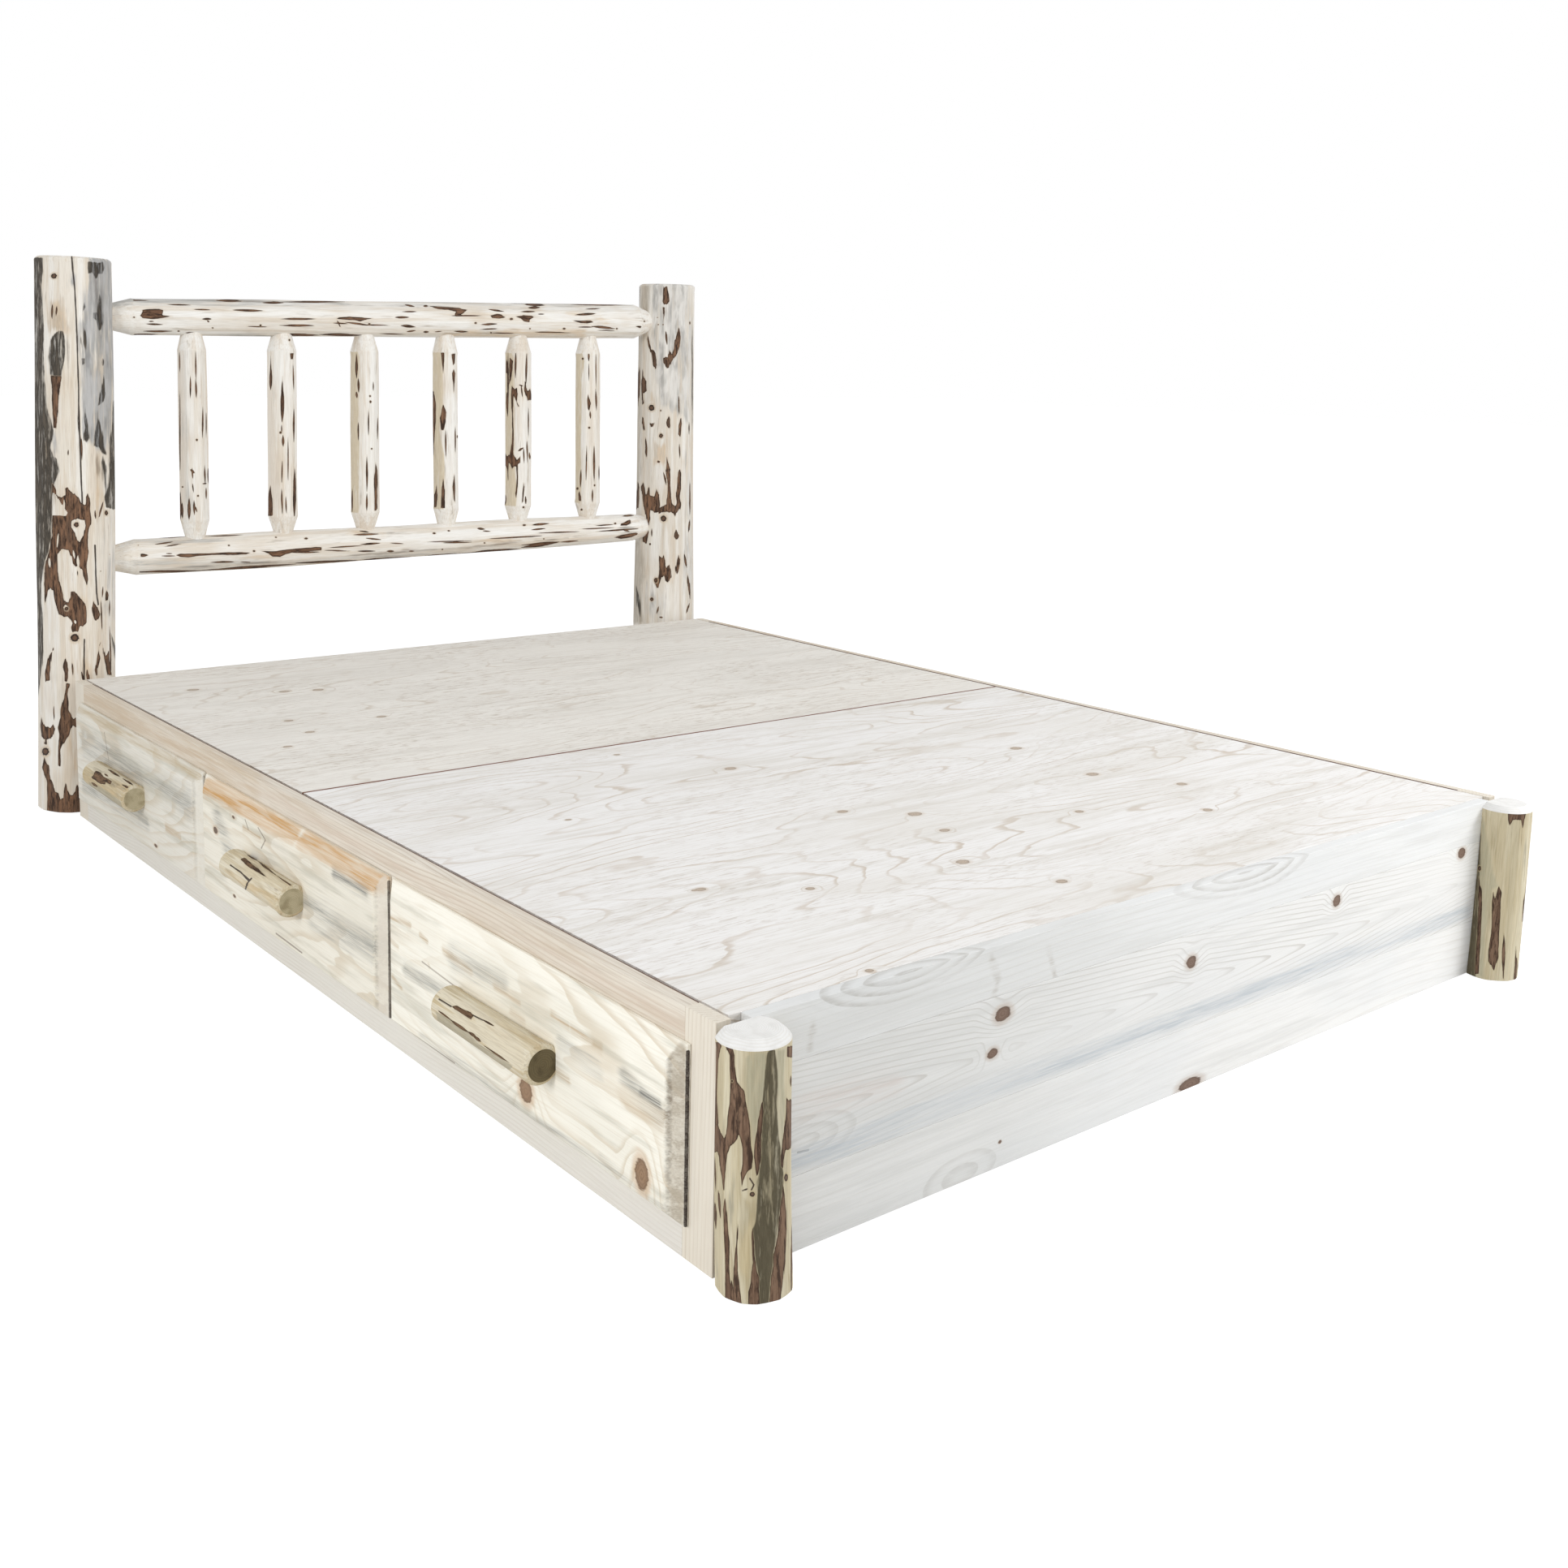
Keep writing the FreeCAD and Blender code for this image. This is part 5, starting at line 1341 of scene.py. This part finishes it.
def build_head_posts():
    for (name, low, high, radius, shares, bend, seed), wood in zip(HEAD_POSTS, post_woods):
        length = (Vector(high) - Vector(low)).length
        top = length - POST_ROUND
        body = [(top * k / 4, radius * share) for k, share in enumerate(shares)]
        rows = eased(body, 0, 4, 0.02) + rounded_end(length, body[-1][1], POST_ROUND_ROWS)
        log = Log(name + "_log", low, high, towards_camera(low), rows, columns=200, step=0.0029, seed=seed,
                  body=(BELOW_FLOOR, length - 0.004), flats=(13, 0.6), crowd=CROWD)
        place_log(log, wood, name, end=white_end, bend=bend)


def build_rails():
    for name, low, high, radius, shares, bend, seed in RAILS:
        length = (Vector(high) - Vector(low)).length
        radii = [radius * share for share in shares]
        rows, body = tenoned(length, RAIL_TENON_DEPTH, RAIL_SHOULDER, RAIL_TENON, radii)
        log = Log(name + "_log", low, high, (0, -1, 0), rows, columns=140, step=0.0026, seed=seed, body=body,
                  flats=(9, 0.5), crowd=CROWD)
        place_log(log, log_wood, name, bend=bend, bend_axis=2)


def build_spindles():
    for k, (size, bend) in enumerate(zip(SPINDLE_SIZES, SPINDLE_BENDS)):
        name = "spindle_%d" % (k + 1)
        low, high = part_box(name)
        x, y = (low.x + high.x) / 2, (low.y + high.y) / 2
        radii = [SPINDLE_RADIUS * size * share for share in SPINDLE_SHARES]
        rows, body = tenoned(high.z - low.z, SPINDLE_TENON_DEPTH, SPINDLE_SHOULDER, SPINDLE_TENON, radii)
        log = Log(name + "_log", (x, y, low.z), (x, y, high.z), towards_camera((x, y)), rows, columns=120,
                  step=0.002, seed=31 + k, body=body, flats=(9, 0.55), swell=0.0009, crowd=CROWD)
        place_log(log, log_wood, name, bend=(bend[0], sum(bend) / 2, bend[1]))


def build_foot_posts():
    for name, x, seed in (("foot_post_left", -FOOT_POST_X, 41), ("foot_post_right", FOOT_POST_X, 42)):
        top = PLATFORM_TOP
        body = [((top - FOOT_ROUND) * k / 3, FOOT_RADIUS * share) for k, share in enumerate(FOOT_SHARES)]
        rows = eased(body, 0, 3) + rounded_end(top, body[-1][1], FOOT_ROUND_ROWS)
        log = Log(name + "_log", (x, FOOT_POST_Y, 0.0), (x, FOOT_POST_Y, top), (0, -1, 0), rows, columns=300,
                  step=0.0014, seed=seed, body=(BELOW_FLOOR, top - 0.0085), flats=(10, 0.35), swell=0.0009,
                  flat=(FOOT_FLAT, math.pi))
        place_log(log, foot_wood, name, end=white_end, ring=6, bend=(-9.0 * x, -2.0 * x, 0.0))


def build_pulls():
    for side, sign in (("left", -1), ("right", 1)):
        for k in (1, 2, 3):
            name = "drawer_pull_%s_%d" % (side, k)
            low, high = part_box(name)
            length = high.y - low.y
            body = [(PULL_ROUND + (length - 2 * PULL_ROUND) * j / 3, PULL_RADIUS * share)
                    for j, share in enumerate(PULL_SHARES)]
            rows = [(below, body[0][1] - inside) for below, inside in reversed(PULL_ROUND_ROWS)]
            rows += eased(body, 0, 3) + rounded_end(length, body[-1][1], PULL_ROUND_ROWS)
            x = sign * PULL_X
            log = Log(name + "_log", (x, low.y, PULL_Z), (x, high.y, PULL_Z), (sign, 0, 0), rows, columns=160,
                      step=0.0014, seed=50 + 10 * sign + k, body=(0.0035, length - 0.0035), flats=(9, 0.5),
                      swell=0.0007, flat=(PULL_FLAT, math.pi))
            place_log(log, pull_wood, name, "drawer_%s_%d" % (side, k), "pull_log",
                      dark_end if k == 1 else tan_end, marks_of="drawer_pull_left_%d" % (4 - k),
                      mirrored=sign > 0)


# Points closer than this are one, faces turned by less than the first angle are one flat, and edges turned by
# more than the second are rounded
WELD_REACH = 0.00002
FLAT_ANGLE, EDGE_ANGLE = math.radians(1.0), math.radians(12)


def soften(node, width):
    """Rounds a board's edges a little, once its doubled corner points are joined and its flats made whole."""
    weld = node.modifiers.new("joined", "WELD")
    weld.merge_threshold = WELD_REACH
    whole = node.modifiers.new("whole", "DECIMATE")
    whole.decimate_type = "DISSOLVE"
    whole.angle_limit = FLAT_ANGLE
    round_edge = node.modifiers.new("rounded", "BEVEL")
    round_edge.width = width
    round_edge.segments = 2
    round_edge.limit_method = "ANGLE"
    round_edge.angle_limit = EDGE_ANGLE
    round_edge.harden_normals = True


def dress(name, material, edge=0.0008):
    node = nodes[name]
    for slot in node.material_slots:
        slot.material = material
    soften(node, edge)


# Marks on the boards, read from the photograph, in its pixels: (u, v, half width, half height) for a
# knot and (u0, v0, u1, v1, half width) for a stroke

FRONT_STROKES = {
    1: {
        "knot": ((648, 1344, 8, 15), (790.5, 1447, 8.5, 20)),
        "blue": (
            (520, 1284, 600, 1340, 12), (590, 1334, 650, 1378, 14), (640, 1372, 740, 1432, 9),
            (740, 1430, 832, 1505, 10), (770, 1325, 812, 1375, 15), (560, 1180, 620, 1212, 18),
            (690, 1284, 735, 1318, 12), (500, 1195, 560, 1230, 10),
        ),
        "tan": (
            (482, 1130, 505, 1140, 4), (518, 1152, 526, 1160, 4), (482, 1159, 490, 1167, 4),
            (547, 1170, 580, 1198, 6), (528, 1188, 529, 1192, 3), (630, 1246, 645, 1258, 8),
            (680, 1250, 700, 1264, 8), (704, 1266, 740, 1290, 8), (770, 1352, 814, 1382, 14),
            (484, 1204, 494, 1217, 6), (610, 1216, 640, 1236, 8), (660, 1300, 700, 1330, 8),
        ),
        "dark": ((790, 1345, 812, 1360, 6),),
        "line": ((520, 1185, 560, 1215, 1.2), (480, 1255, 560, 1310, 1.2)),
    },
    2: {
        "knot": ((265.6, 1023, 2.5, 4), (287.6, 1007, 1.6, 1.8), (288.8, 1104, 1.6, 1.8)),
        "orange": ((250, 968, 358, 1024, 15), (368, 1030, 476, 1096, 18)),
        "dark": ((412, 1078, 450, 1100, 9),),
        "blue": (
            (412, 1074, 452, 1096, 12), (385, 1124, 462, 1168, 24), (268, 1006, 282, 1050, 18),
            (464, 1142, 468, 1178, 10), (330, 1080, 390, 1120, 12),
        ),
        "tan": ((464, 1182, 470, 1210, 6), (300, 1020, 320, 1032, 5)),
        "white": ((336, 1038, 354, 1054, 13), (462, 1108, 468, 1134, 7)),
        "line": (
            (302, 1010, 306, 1022, 1.2), (318, 1020, 327, 1035, 1.2), (327, 1035, 322, 1045, 1.2),
            (340, 1150, 372, 1174, 1.4),
        ),
    },
    3: {
        "knot": ((192, 1042, 1.8, 2),),
        "blue": ((104, 912, 232, 990, 18), (104, 968, 180, 1014, 12)),
        "tan": ((205, 1020, 222, 1032, 6), (118, 878, 236, 950, 7)),
        "line": ((128, 900, 134, 937, 1.0), (243, 1040, 247, 1055, 1.6), (247, 1055, 251, 1038, 1.6)),
    },
}
FRONT_STAINS = (
    ("blue", rgb(148, 147, 140), 0.8, 1.0), ("tan", rgb(184, 156, 116), 0.75, 1.0),
    ("orange", rgb(200, 153, 92), 1.0, 0.6), ("white", rgb(236, 230, 218), 0.6, 1.0),
    ("dark", rgb(108, 106, 102), 0.8, 1.1), ("line", rgb(112, 92, 76), 0.75, 0.3),
)
# Each front's bevel at its foot end: its colour, partly end grain and partly painted shade, and how clear the
# painted dark lines along its outer and inner edge are
FRONT_BEVELS = {
    1: (rgb(172, 160, 142), 1.0, 0.8),
    2: (rgb(220, 212, 200), 0.9, 0.4),
    3: (rgb(232, 228, 218), 0.4, 0.25),
}
DECK_KNOTS = (
    (900, 947, 11), (1038, 1000, 9), (1127, 1003, 12), (1164, 1023, 9), (1186, 1062, 11), (1308, 1086, 9),
    (1346, 954, 12), (1456, 966, 10), (1488, 998, 9), (1252, 922, 12), (1330, 1000, 8), (863, 1096, 8),
    (998, 1095, 7), (1071, 1196, 6), (856, 1097, 5), (238, 850, 12), (350, 852, 11), (356, 888, 9),
    (382, 902, 9), (354, 920, 8), (392, 850, 12), (470, 883, 10), (700, 1010, 5), (760, 930, 6),
)
PLANK_STROKES = {
    "knot": (
        (1236, 1249, 9.5, 9.5), (1223, 1298, 6.5, 6), (1468, 1185, 6, 7.5), (1647, 1110, 4.5, 7),
        (1801, 1051, 4.5, 6.5), (1466, 1336, 13, 8), (1232, 1407, 2, 2),
    ),
    "tan": (
        (1222, 1180, 1230, 1208, 6), (1230, 1208, 1222, 1234, 5), (1292, 1168, 1300, 1204, 4),
        (1002, 1262, 998, 1290, 7),
    ),
    "pink": ((990, 1368, 1100, 1335, 22),),
    "line": ((983, 1420, 996, 1417, 1.5),),
}
PLANK_STAINS = (
    ("tan", rgb(170, 158, 142), 0.7, 1.2), ("pink", rgb(222, 204, 194), 0.7, 1.0),
    ("line", rgb(70, 60, 52), 0.9, 0.2),
)
DARK_KNOT = rgb(92, 70, 54), rgb(198, 164, 126)
KNOT_TONES = {1: (rgb(142, 110, 82), rgb(200, 160, 116)), 2: DARK_KNOT, 3: DARK_KNOT}
FRONT_PALES = {1: rgb(250, 246, 234), 2: rgb(243, 238, 225), 3: rgb(232, 228, 218)}


def stroke(ends, axis, value, mirrored=False):
    """A stroke's ends and half width in metres, on the plane axis = value. A knot has four numbers: its
    middle and its half width and height in the photograph."""
    if len(ends) == 4:
        u, v, wide, high = ends
        centre = on_plane(u, v, axis, value)
        along = abs((on_plane(u + wide, v, axis, value) - centre)[1 - axis])
        up = abs((on_plane(u, v + high, axis, value) - centre).z)
        return (-centre.x if mirrored else centre.x, centre.y, centre.z), (along, along, up)
    start, end = on_plane(*ends[0:2], axis, value), on_plane(*ends[2:4], axis, value)
    width = ends[4] * (start - EYE).dot(FORWARD) / FOCAL
    if mirrored:
        start.x, end.x = -start.x, -end.x
    if (end - start).length < 0.001:
        end = end + Vector((0, 0, 0.001))
    return tuple(start), tuple(end), width


def strokes_of(table, names, axis, value, low=-1.0, high=1.0, mirrored=False):
    """The stains of a table of strokes that start between two heights, ready for a board, and its knots."""
    def kept(name):
        shapes = [stroke(ends, axis, value, mirrored) for ends in table.get(name, ())]
        return [shape for shape in shapes if low < shape[0][2] < high]
    return [(kept(name), tone, share, fray) for name, tone, share, fray in names if kept(name)], kept("knot")


# Where the boards' faces, edges and ends lie, in metres
FRONT_FACE = -0.800
BEVEL_MIDDLE, BEVEL_TOP, BEVEL_EDGE = 0.793, 0.795, 0.785
SIDE_FACE = 0.781
DECK_EDGE = 0.7618
FOOT_FACE = -1.1395
FOOT_END, HEAD_END = -1.12, 1.02
SEAM = -0.0485
# Painted shade in the narrow gaps between the deck and the side rails.
GAP_SHADE_TONE = rgb(92, 60, 42)
SIDE_PALE = rgb(229, 221, 208)
SIDE_LATE = rgb(186, 168, 146)
INNER_PALE = rgb(222, 205, 176)
INNER_LATE = rgb(186, 158, 120)


def dress_front(side, sign, j):
    stains_and_shade, knots = strokes_of(FRONT_STROKES[j], FRONT_STAINS, 0, FRONT_FACE, mirrored=sign > 0)
    low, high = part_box("drawer_front_%s_%d" % (side, j))
    bevel_tone, outer, inner = FRONT_BEVELS[j]
    # The bevel's colour is partly end grain and partly painted shade; the inner line is painted shade in the
    # corner at the raised field, the outer line a painted shadow of the gap beside the stile.
    bevel_and_shade_bands = ((BEVEL_MIDDLE, low.y + 0.007, bevel_tone, 0.011, 0.85, 0.4),
             (-FRONT_FACE, low.y + 0.0150, rgb(112, 99, 84), 0.0050, inner, 0.5),
             (BEVEL_EDGE, low.y, rgb(54, 44, 38), 0.0026, outer, 0.15))
    for x, y, tone, width, share, fray in bevel_and_shade_bands:
        line = (sign * x, y, low.z - 0.004), (sign * x, y, high.z - 0.008), width
        stains_and_shade.append(([line], tone, share, fray))
    if j == 3:
        x, z = sign * BEVEL_TOP, high.z - 0.006
        stains_and_shade.append(([((x, low.y + 0.01, z), (x, high.y, z), 0.011)], rgb(182, 160, 120), 0.75, 0.7))
    wood = board_wood("drawer_front_%s_%d_wood" % (side, j), "y", FRONT_PALES[j], rgb(196, 174, 140),
                      10 + j - 2 * sign, reach=lambda board: board.peeled_sheet(0.30), pitch=0.010,
                      contrast=0.45, wash=rgb(206, 200, 184), wash_share=0.3, streak=rgb(172, 168, 150),
                      streak_share=0.4, knots=((knots, *KNOT_TONES[j]),), stains_and_shade=stains_and_shade)
    dress("drawer_front_%s_%d" % (side, j), wood, 0.0005)


def dress_side(side, sign):
    """Sign is -1 for the left side and 1 for the right."""
    x, edge = sign * SIDE_FACE, sign * DECK_EDGE
    pink = ([((x, -1.08, 0.258), (x, HEAD_END, 0.262), 0.011)], rgb(208, 188, 170), 0.5, 1.0)
    warm = ([((x, 0.10, 0.262), (x, HEAD_END, 0.262), 0.040)], rgb(196, 172, 138), 0.55, 0.9)
    # Painted shade: a dark line in the gap where the deck meets the side rail.
    gap_shade = ([((edge, FOOT_END, PLATFORM_TOP), (edge, HEAD_END, PLATFORM_TOP), 0.0028)], GAP_SHADE_TONE, 1.0, 0.1)
    rail = board_wood("side_rail_top_%s_wood" % side, "y", SIDE_PALE, SIDE_LATE, 1.5 + sign,
                      pith=(sign * 0.83, 0.33), contrast=0.5, wash=rgb(206, 191, 172),
                      fibre_tone=rgb(160, 138, 116), fibre_share=0.4, streak=rgb(198, 180, 158),
                      streak_share=0.5, stains_and_shade=(pink, warm, gap_shade))
    dress("side_rail_top_" + side, rail)
    low = board_wood("side_rail_bottom_%s_wood" % side, "y", rgb(230, 226, 218), rgb(196, 186, 170),
                     3.5 + sign, pith=(sign * 0.74, -0.05), wash=rgb(215, 208, 204))
    dress("side_rail_bottom_" + side, low)
    upright = board_wood("side_upright_%s_wood" % side, "z", rgb(229, 221, 207), SIDE_LATE, 5.5 + sign,
                         pith=(sign * 0.72, -1.0), contrast=0.3)
    for name in ("side_stile_foot_" + side, "side_stile_head_" + side,
                 "side_divider_%s_1" % side, "side_divider_%s_2" % side):
        dress(name, upright)
    for j in (1, 2, 3):
        dress_front(side, sign, j)
        box_wood = board_wood("drawer_box_%s_%d_wood" % (side, j), "y", INNER_PALE, INNER_LATE, 20 + j + sign,
                              pith=(sign * 0.5, -0.2))
        dress("drawer_box_%s_%d" % (side, j), box_wood, 0.0006)
    runner = board_wood("drawer_runner_%s_wood" % side, "x", rgb(214, 188, 148), rgb(178, 146, 104),
                        30.5 + sign, pith=(0.3, 0.2), contrast=0.2)
    dress("drawer_runners_" + side, runner)


def turned_place(u, v):
    """A place on the foot board as its grain sees it: depth, height and then length."""
    place = on_plane(u, v, 1, FOOT_FACE)
    return (place.y, place.z, place.x)


def dress_foot_board():
    arches = {"upper": ((turned_place(1124, 1168), 2.4, 0.070, 0.75),
                        (turned_place(1530, 1066), 3.4, 0.054, 0.6)),
              "middle": ((turned_place(990, 1404), 2.6, 0.034, 0.4),),
              "lower": ((turned_place(1182, 1434), 2.4, 0.034, 0.4),)}
    blue = ([((-0.74, FOOT_FACE, 0.104), (0.70, FOOT_FACE, 0.104), 0.017)], rgb(192, 198, 203), 0.9, 0.9)
    shade = ([((-0.78, FOOT_FACE, 0.0), (-0.78, FOOT_FACE, 0.28), 0.62)], rgb(208, 208, 205), 0.45, 0.3)
    planks = (
        ("upper", rgb(236, 236, 235), rgb(198, 190, 178), 0.2, 0.009,
         lambda board: board.trunk((-1.10, 0.36))),
        ("middle", rgb(238, 237, 235), rgb(184, 176, 166), 0.6, 0.0070,
         lambda board: board.tongues(0.150, 0.085, 0.016)),
        ("lower", rgb(241, 240, 238), rgb(214, 208, 200), 0.25, 0.010,
         lambda board: board.trunk((-1.06, -0.05))),
    )
    for j, (name, pale, late_tone, contrast, pitch, reach) in enumerate(planks):
        low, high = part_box("foot_plank_" + name)
        stains_and_shade, knots = strokes_of(PLANK_STROKES, PLANK_STAINS, 1, FOOT_FACE, low.z - 0.004, high.z + 0.004)
        stains_and_shade.append(shade)
        if name == "middle":
            stains_and_shade.append(blue)
        groups = ((knots, rgb(112, 84, 66), rgb(186, 166, 148)),) if knots else ()
        wood = board_wood("foot_plank_%s_wood" % name, "x", pale, late_tone, 40 + j, reach=reach,
                          pitch=pitch, contrast=contrast, soft=0.66, fibre_tone=rgb(204, 200, 194),
                          wash=rgb(222, 224, 226), wash_share=0.4, streak=rgb(216, 215, 212),
                          streak_share=0.4, arches=arches[name], arch_tone=rgb(158, 150, 138),
                          knots=groups, stains_and_shade=stains_and_shade)
        dress("foot_plank_" + name, wood, 0.0009)


def dress_deck():
    places = [(on_plane(u, v, 2, PLATFORM_TOP), size * MM) for u, v, size in DECK_KNOTS]
    # Painted shade in the seam between the deck panels and in the gaps along the deck's edges.
    seam = ([((-0.76, SEAM, PLATFORM_TOP), (0.76, SEAM, PLATFORM_TOP), 0.0034)], rgb(112, 64, 40), 1.0, 0.1)
    edges = [((x, FOOT_END, PLATFORM_TOP), (x, HEAD_END, PLATFORM_TOP), 0.0032)
             for x in (-DECK_EDGE, DECK_EDGE)]
    panels = (("foot", rgb(242, 240, 238), rgb(198, 182, 164), 0.75, 0.36),
              ("head", rgb(239, 235, 228), rgb(196, 180, 160), 0.6, 0.62))
    for j, (name, pale, late_tone, contrast, fleck_share) in enumerate(panels):
        centres = [(tuple(place), (size, size * 0.8, size)) for place, size in places
                   if (place.y < SEAM) == (name == "foot")]
        wood = board_wood("deck_%s_wood" % name, "x", pale, late_tone, 50 + j,
                          reach=lambda board: board.peeled_sheet(0.42), contrast=contrast, pitch=0.012,
                          soft=0.80, fibre_tone=rgb(206, 196, 184), fibre_share=0.45,
                          wash=rgb(224, 219, 211), wash_share=0.5, streak=rgb(212, 206, 196),
                          streak_share=0.4, flecks=(rgb(176, 160, 142), fleck_share),
                          knots=((centres, rgb(186, 168, 150), rgb(212, 198, 182)),),
                          stains_and_shade=(seam, (edges, GAP_SHADE_TONE, 1.0, 0.1)))
        dress("deck_panel_" + name, wood, 0.0008)


def dress_inside():
    across = board_wood("lumber_across_wood", "x", INNER_PALE, INNER_LATE, 60, pith=(0.0, 0.1))
    for name in ("foot_cross_member", "head_cross_member", "cross_partition_1", "cross_partition_2",
                 "deck_seam_bearer", "headboard_tie_board"):
        dress(name, across)
    along = board_wood("lumber_along_wood", "y", INNER_PALE, INNER_LATE, 61, pith=(0.1, 0.1))
    for name in ("centre_spine", "deck_cleat_left", "deck_cleat_right"):
        dress(name, along)
    t = material_tree("zinc_steel")
    place = t.add("TexCoord").outputs["Object"]
    brushed = t.noise(place, 900.0, 3.0)
    tone = t.mix(t.fit(t.noise(place, 160.0, 2.0), 0.35, 0.7), (0.50, 0.50, 0.52), (0.62, 0.62, 0.62))
    steel = t.finish(tone, t.fit(brushed, 0.3, 0.7, 0.32, 0.48), brushed, 0.0002, 0.4, 0.5, metallic=1.0)
    dress("headboard_bolts", steel, 0.0004)


build_head_posts()
build_rails()
build_spindles()
build_foot_posts()
build_pulls()
dress_side("left", -1)
dress_side("right", 1)
dress_foot_board()
dress_deck()
dress_inside()
set_world()
set_floor()
add_light("key", (2.4, -2.9, 2.2), (0.3, -0.4, 0.3), 69.0)
add_light("side", (-4.2, -1.45, 1.9), (-0.8, -0.8, 0.15), 60.0)
set_camera()

scene.view_settings.view_transform = "Standard"
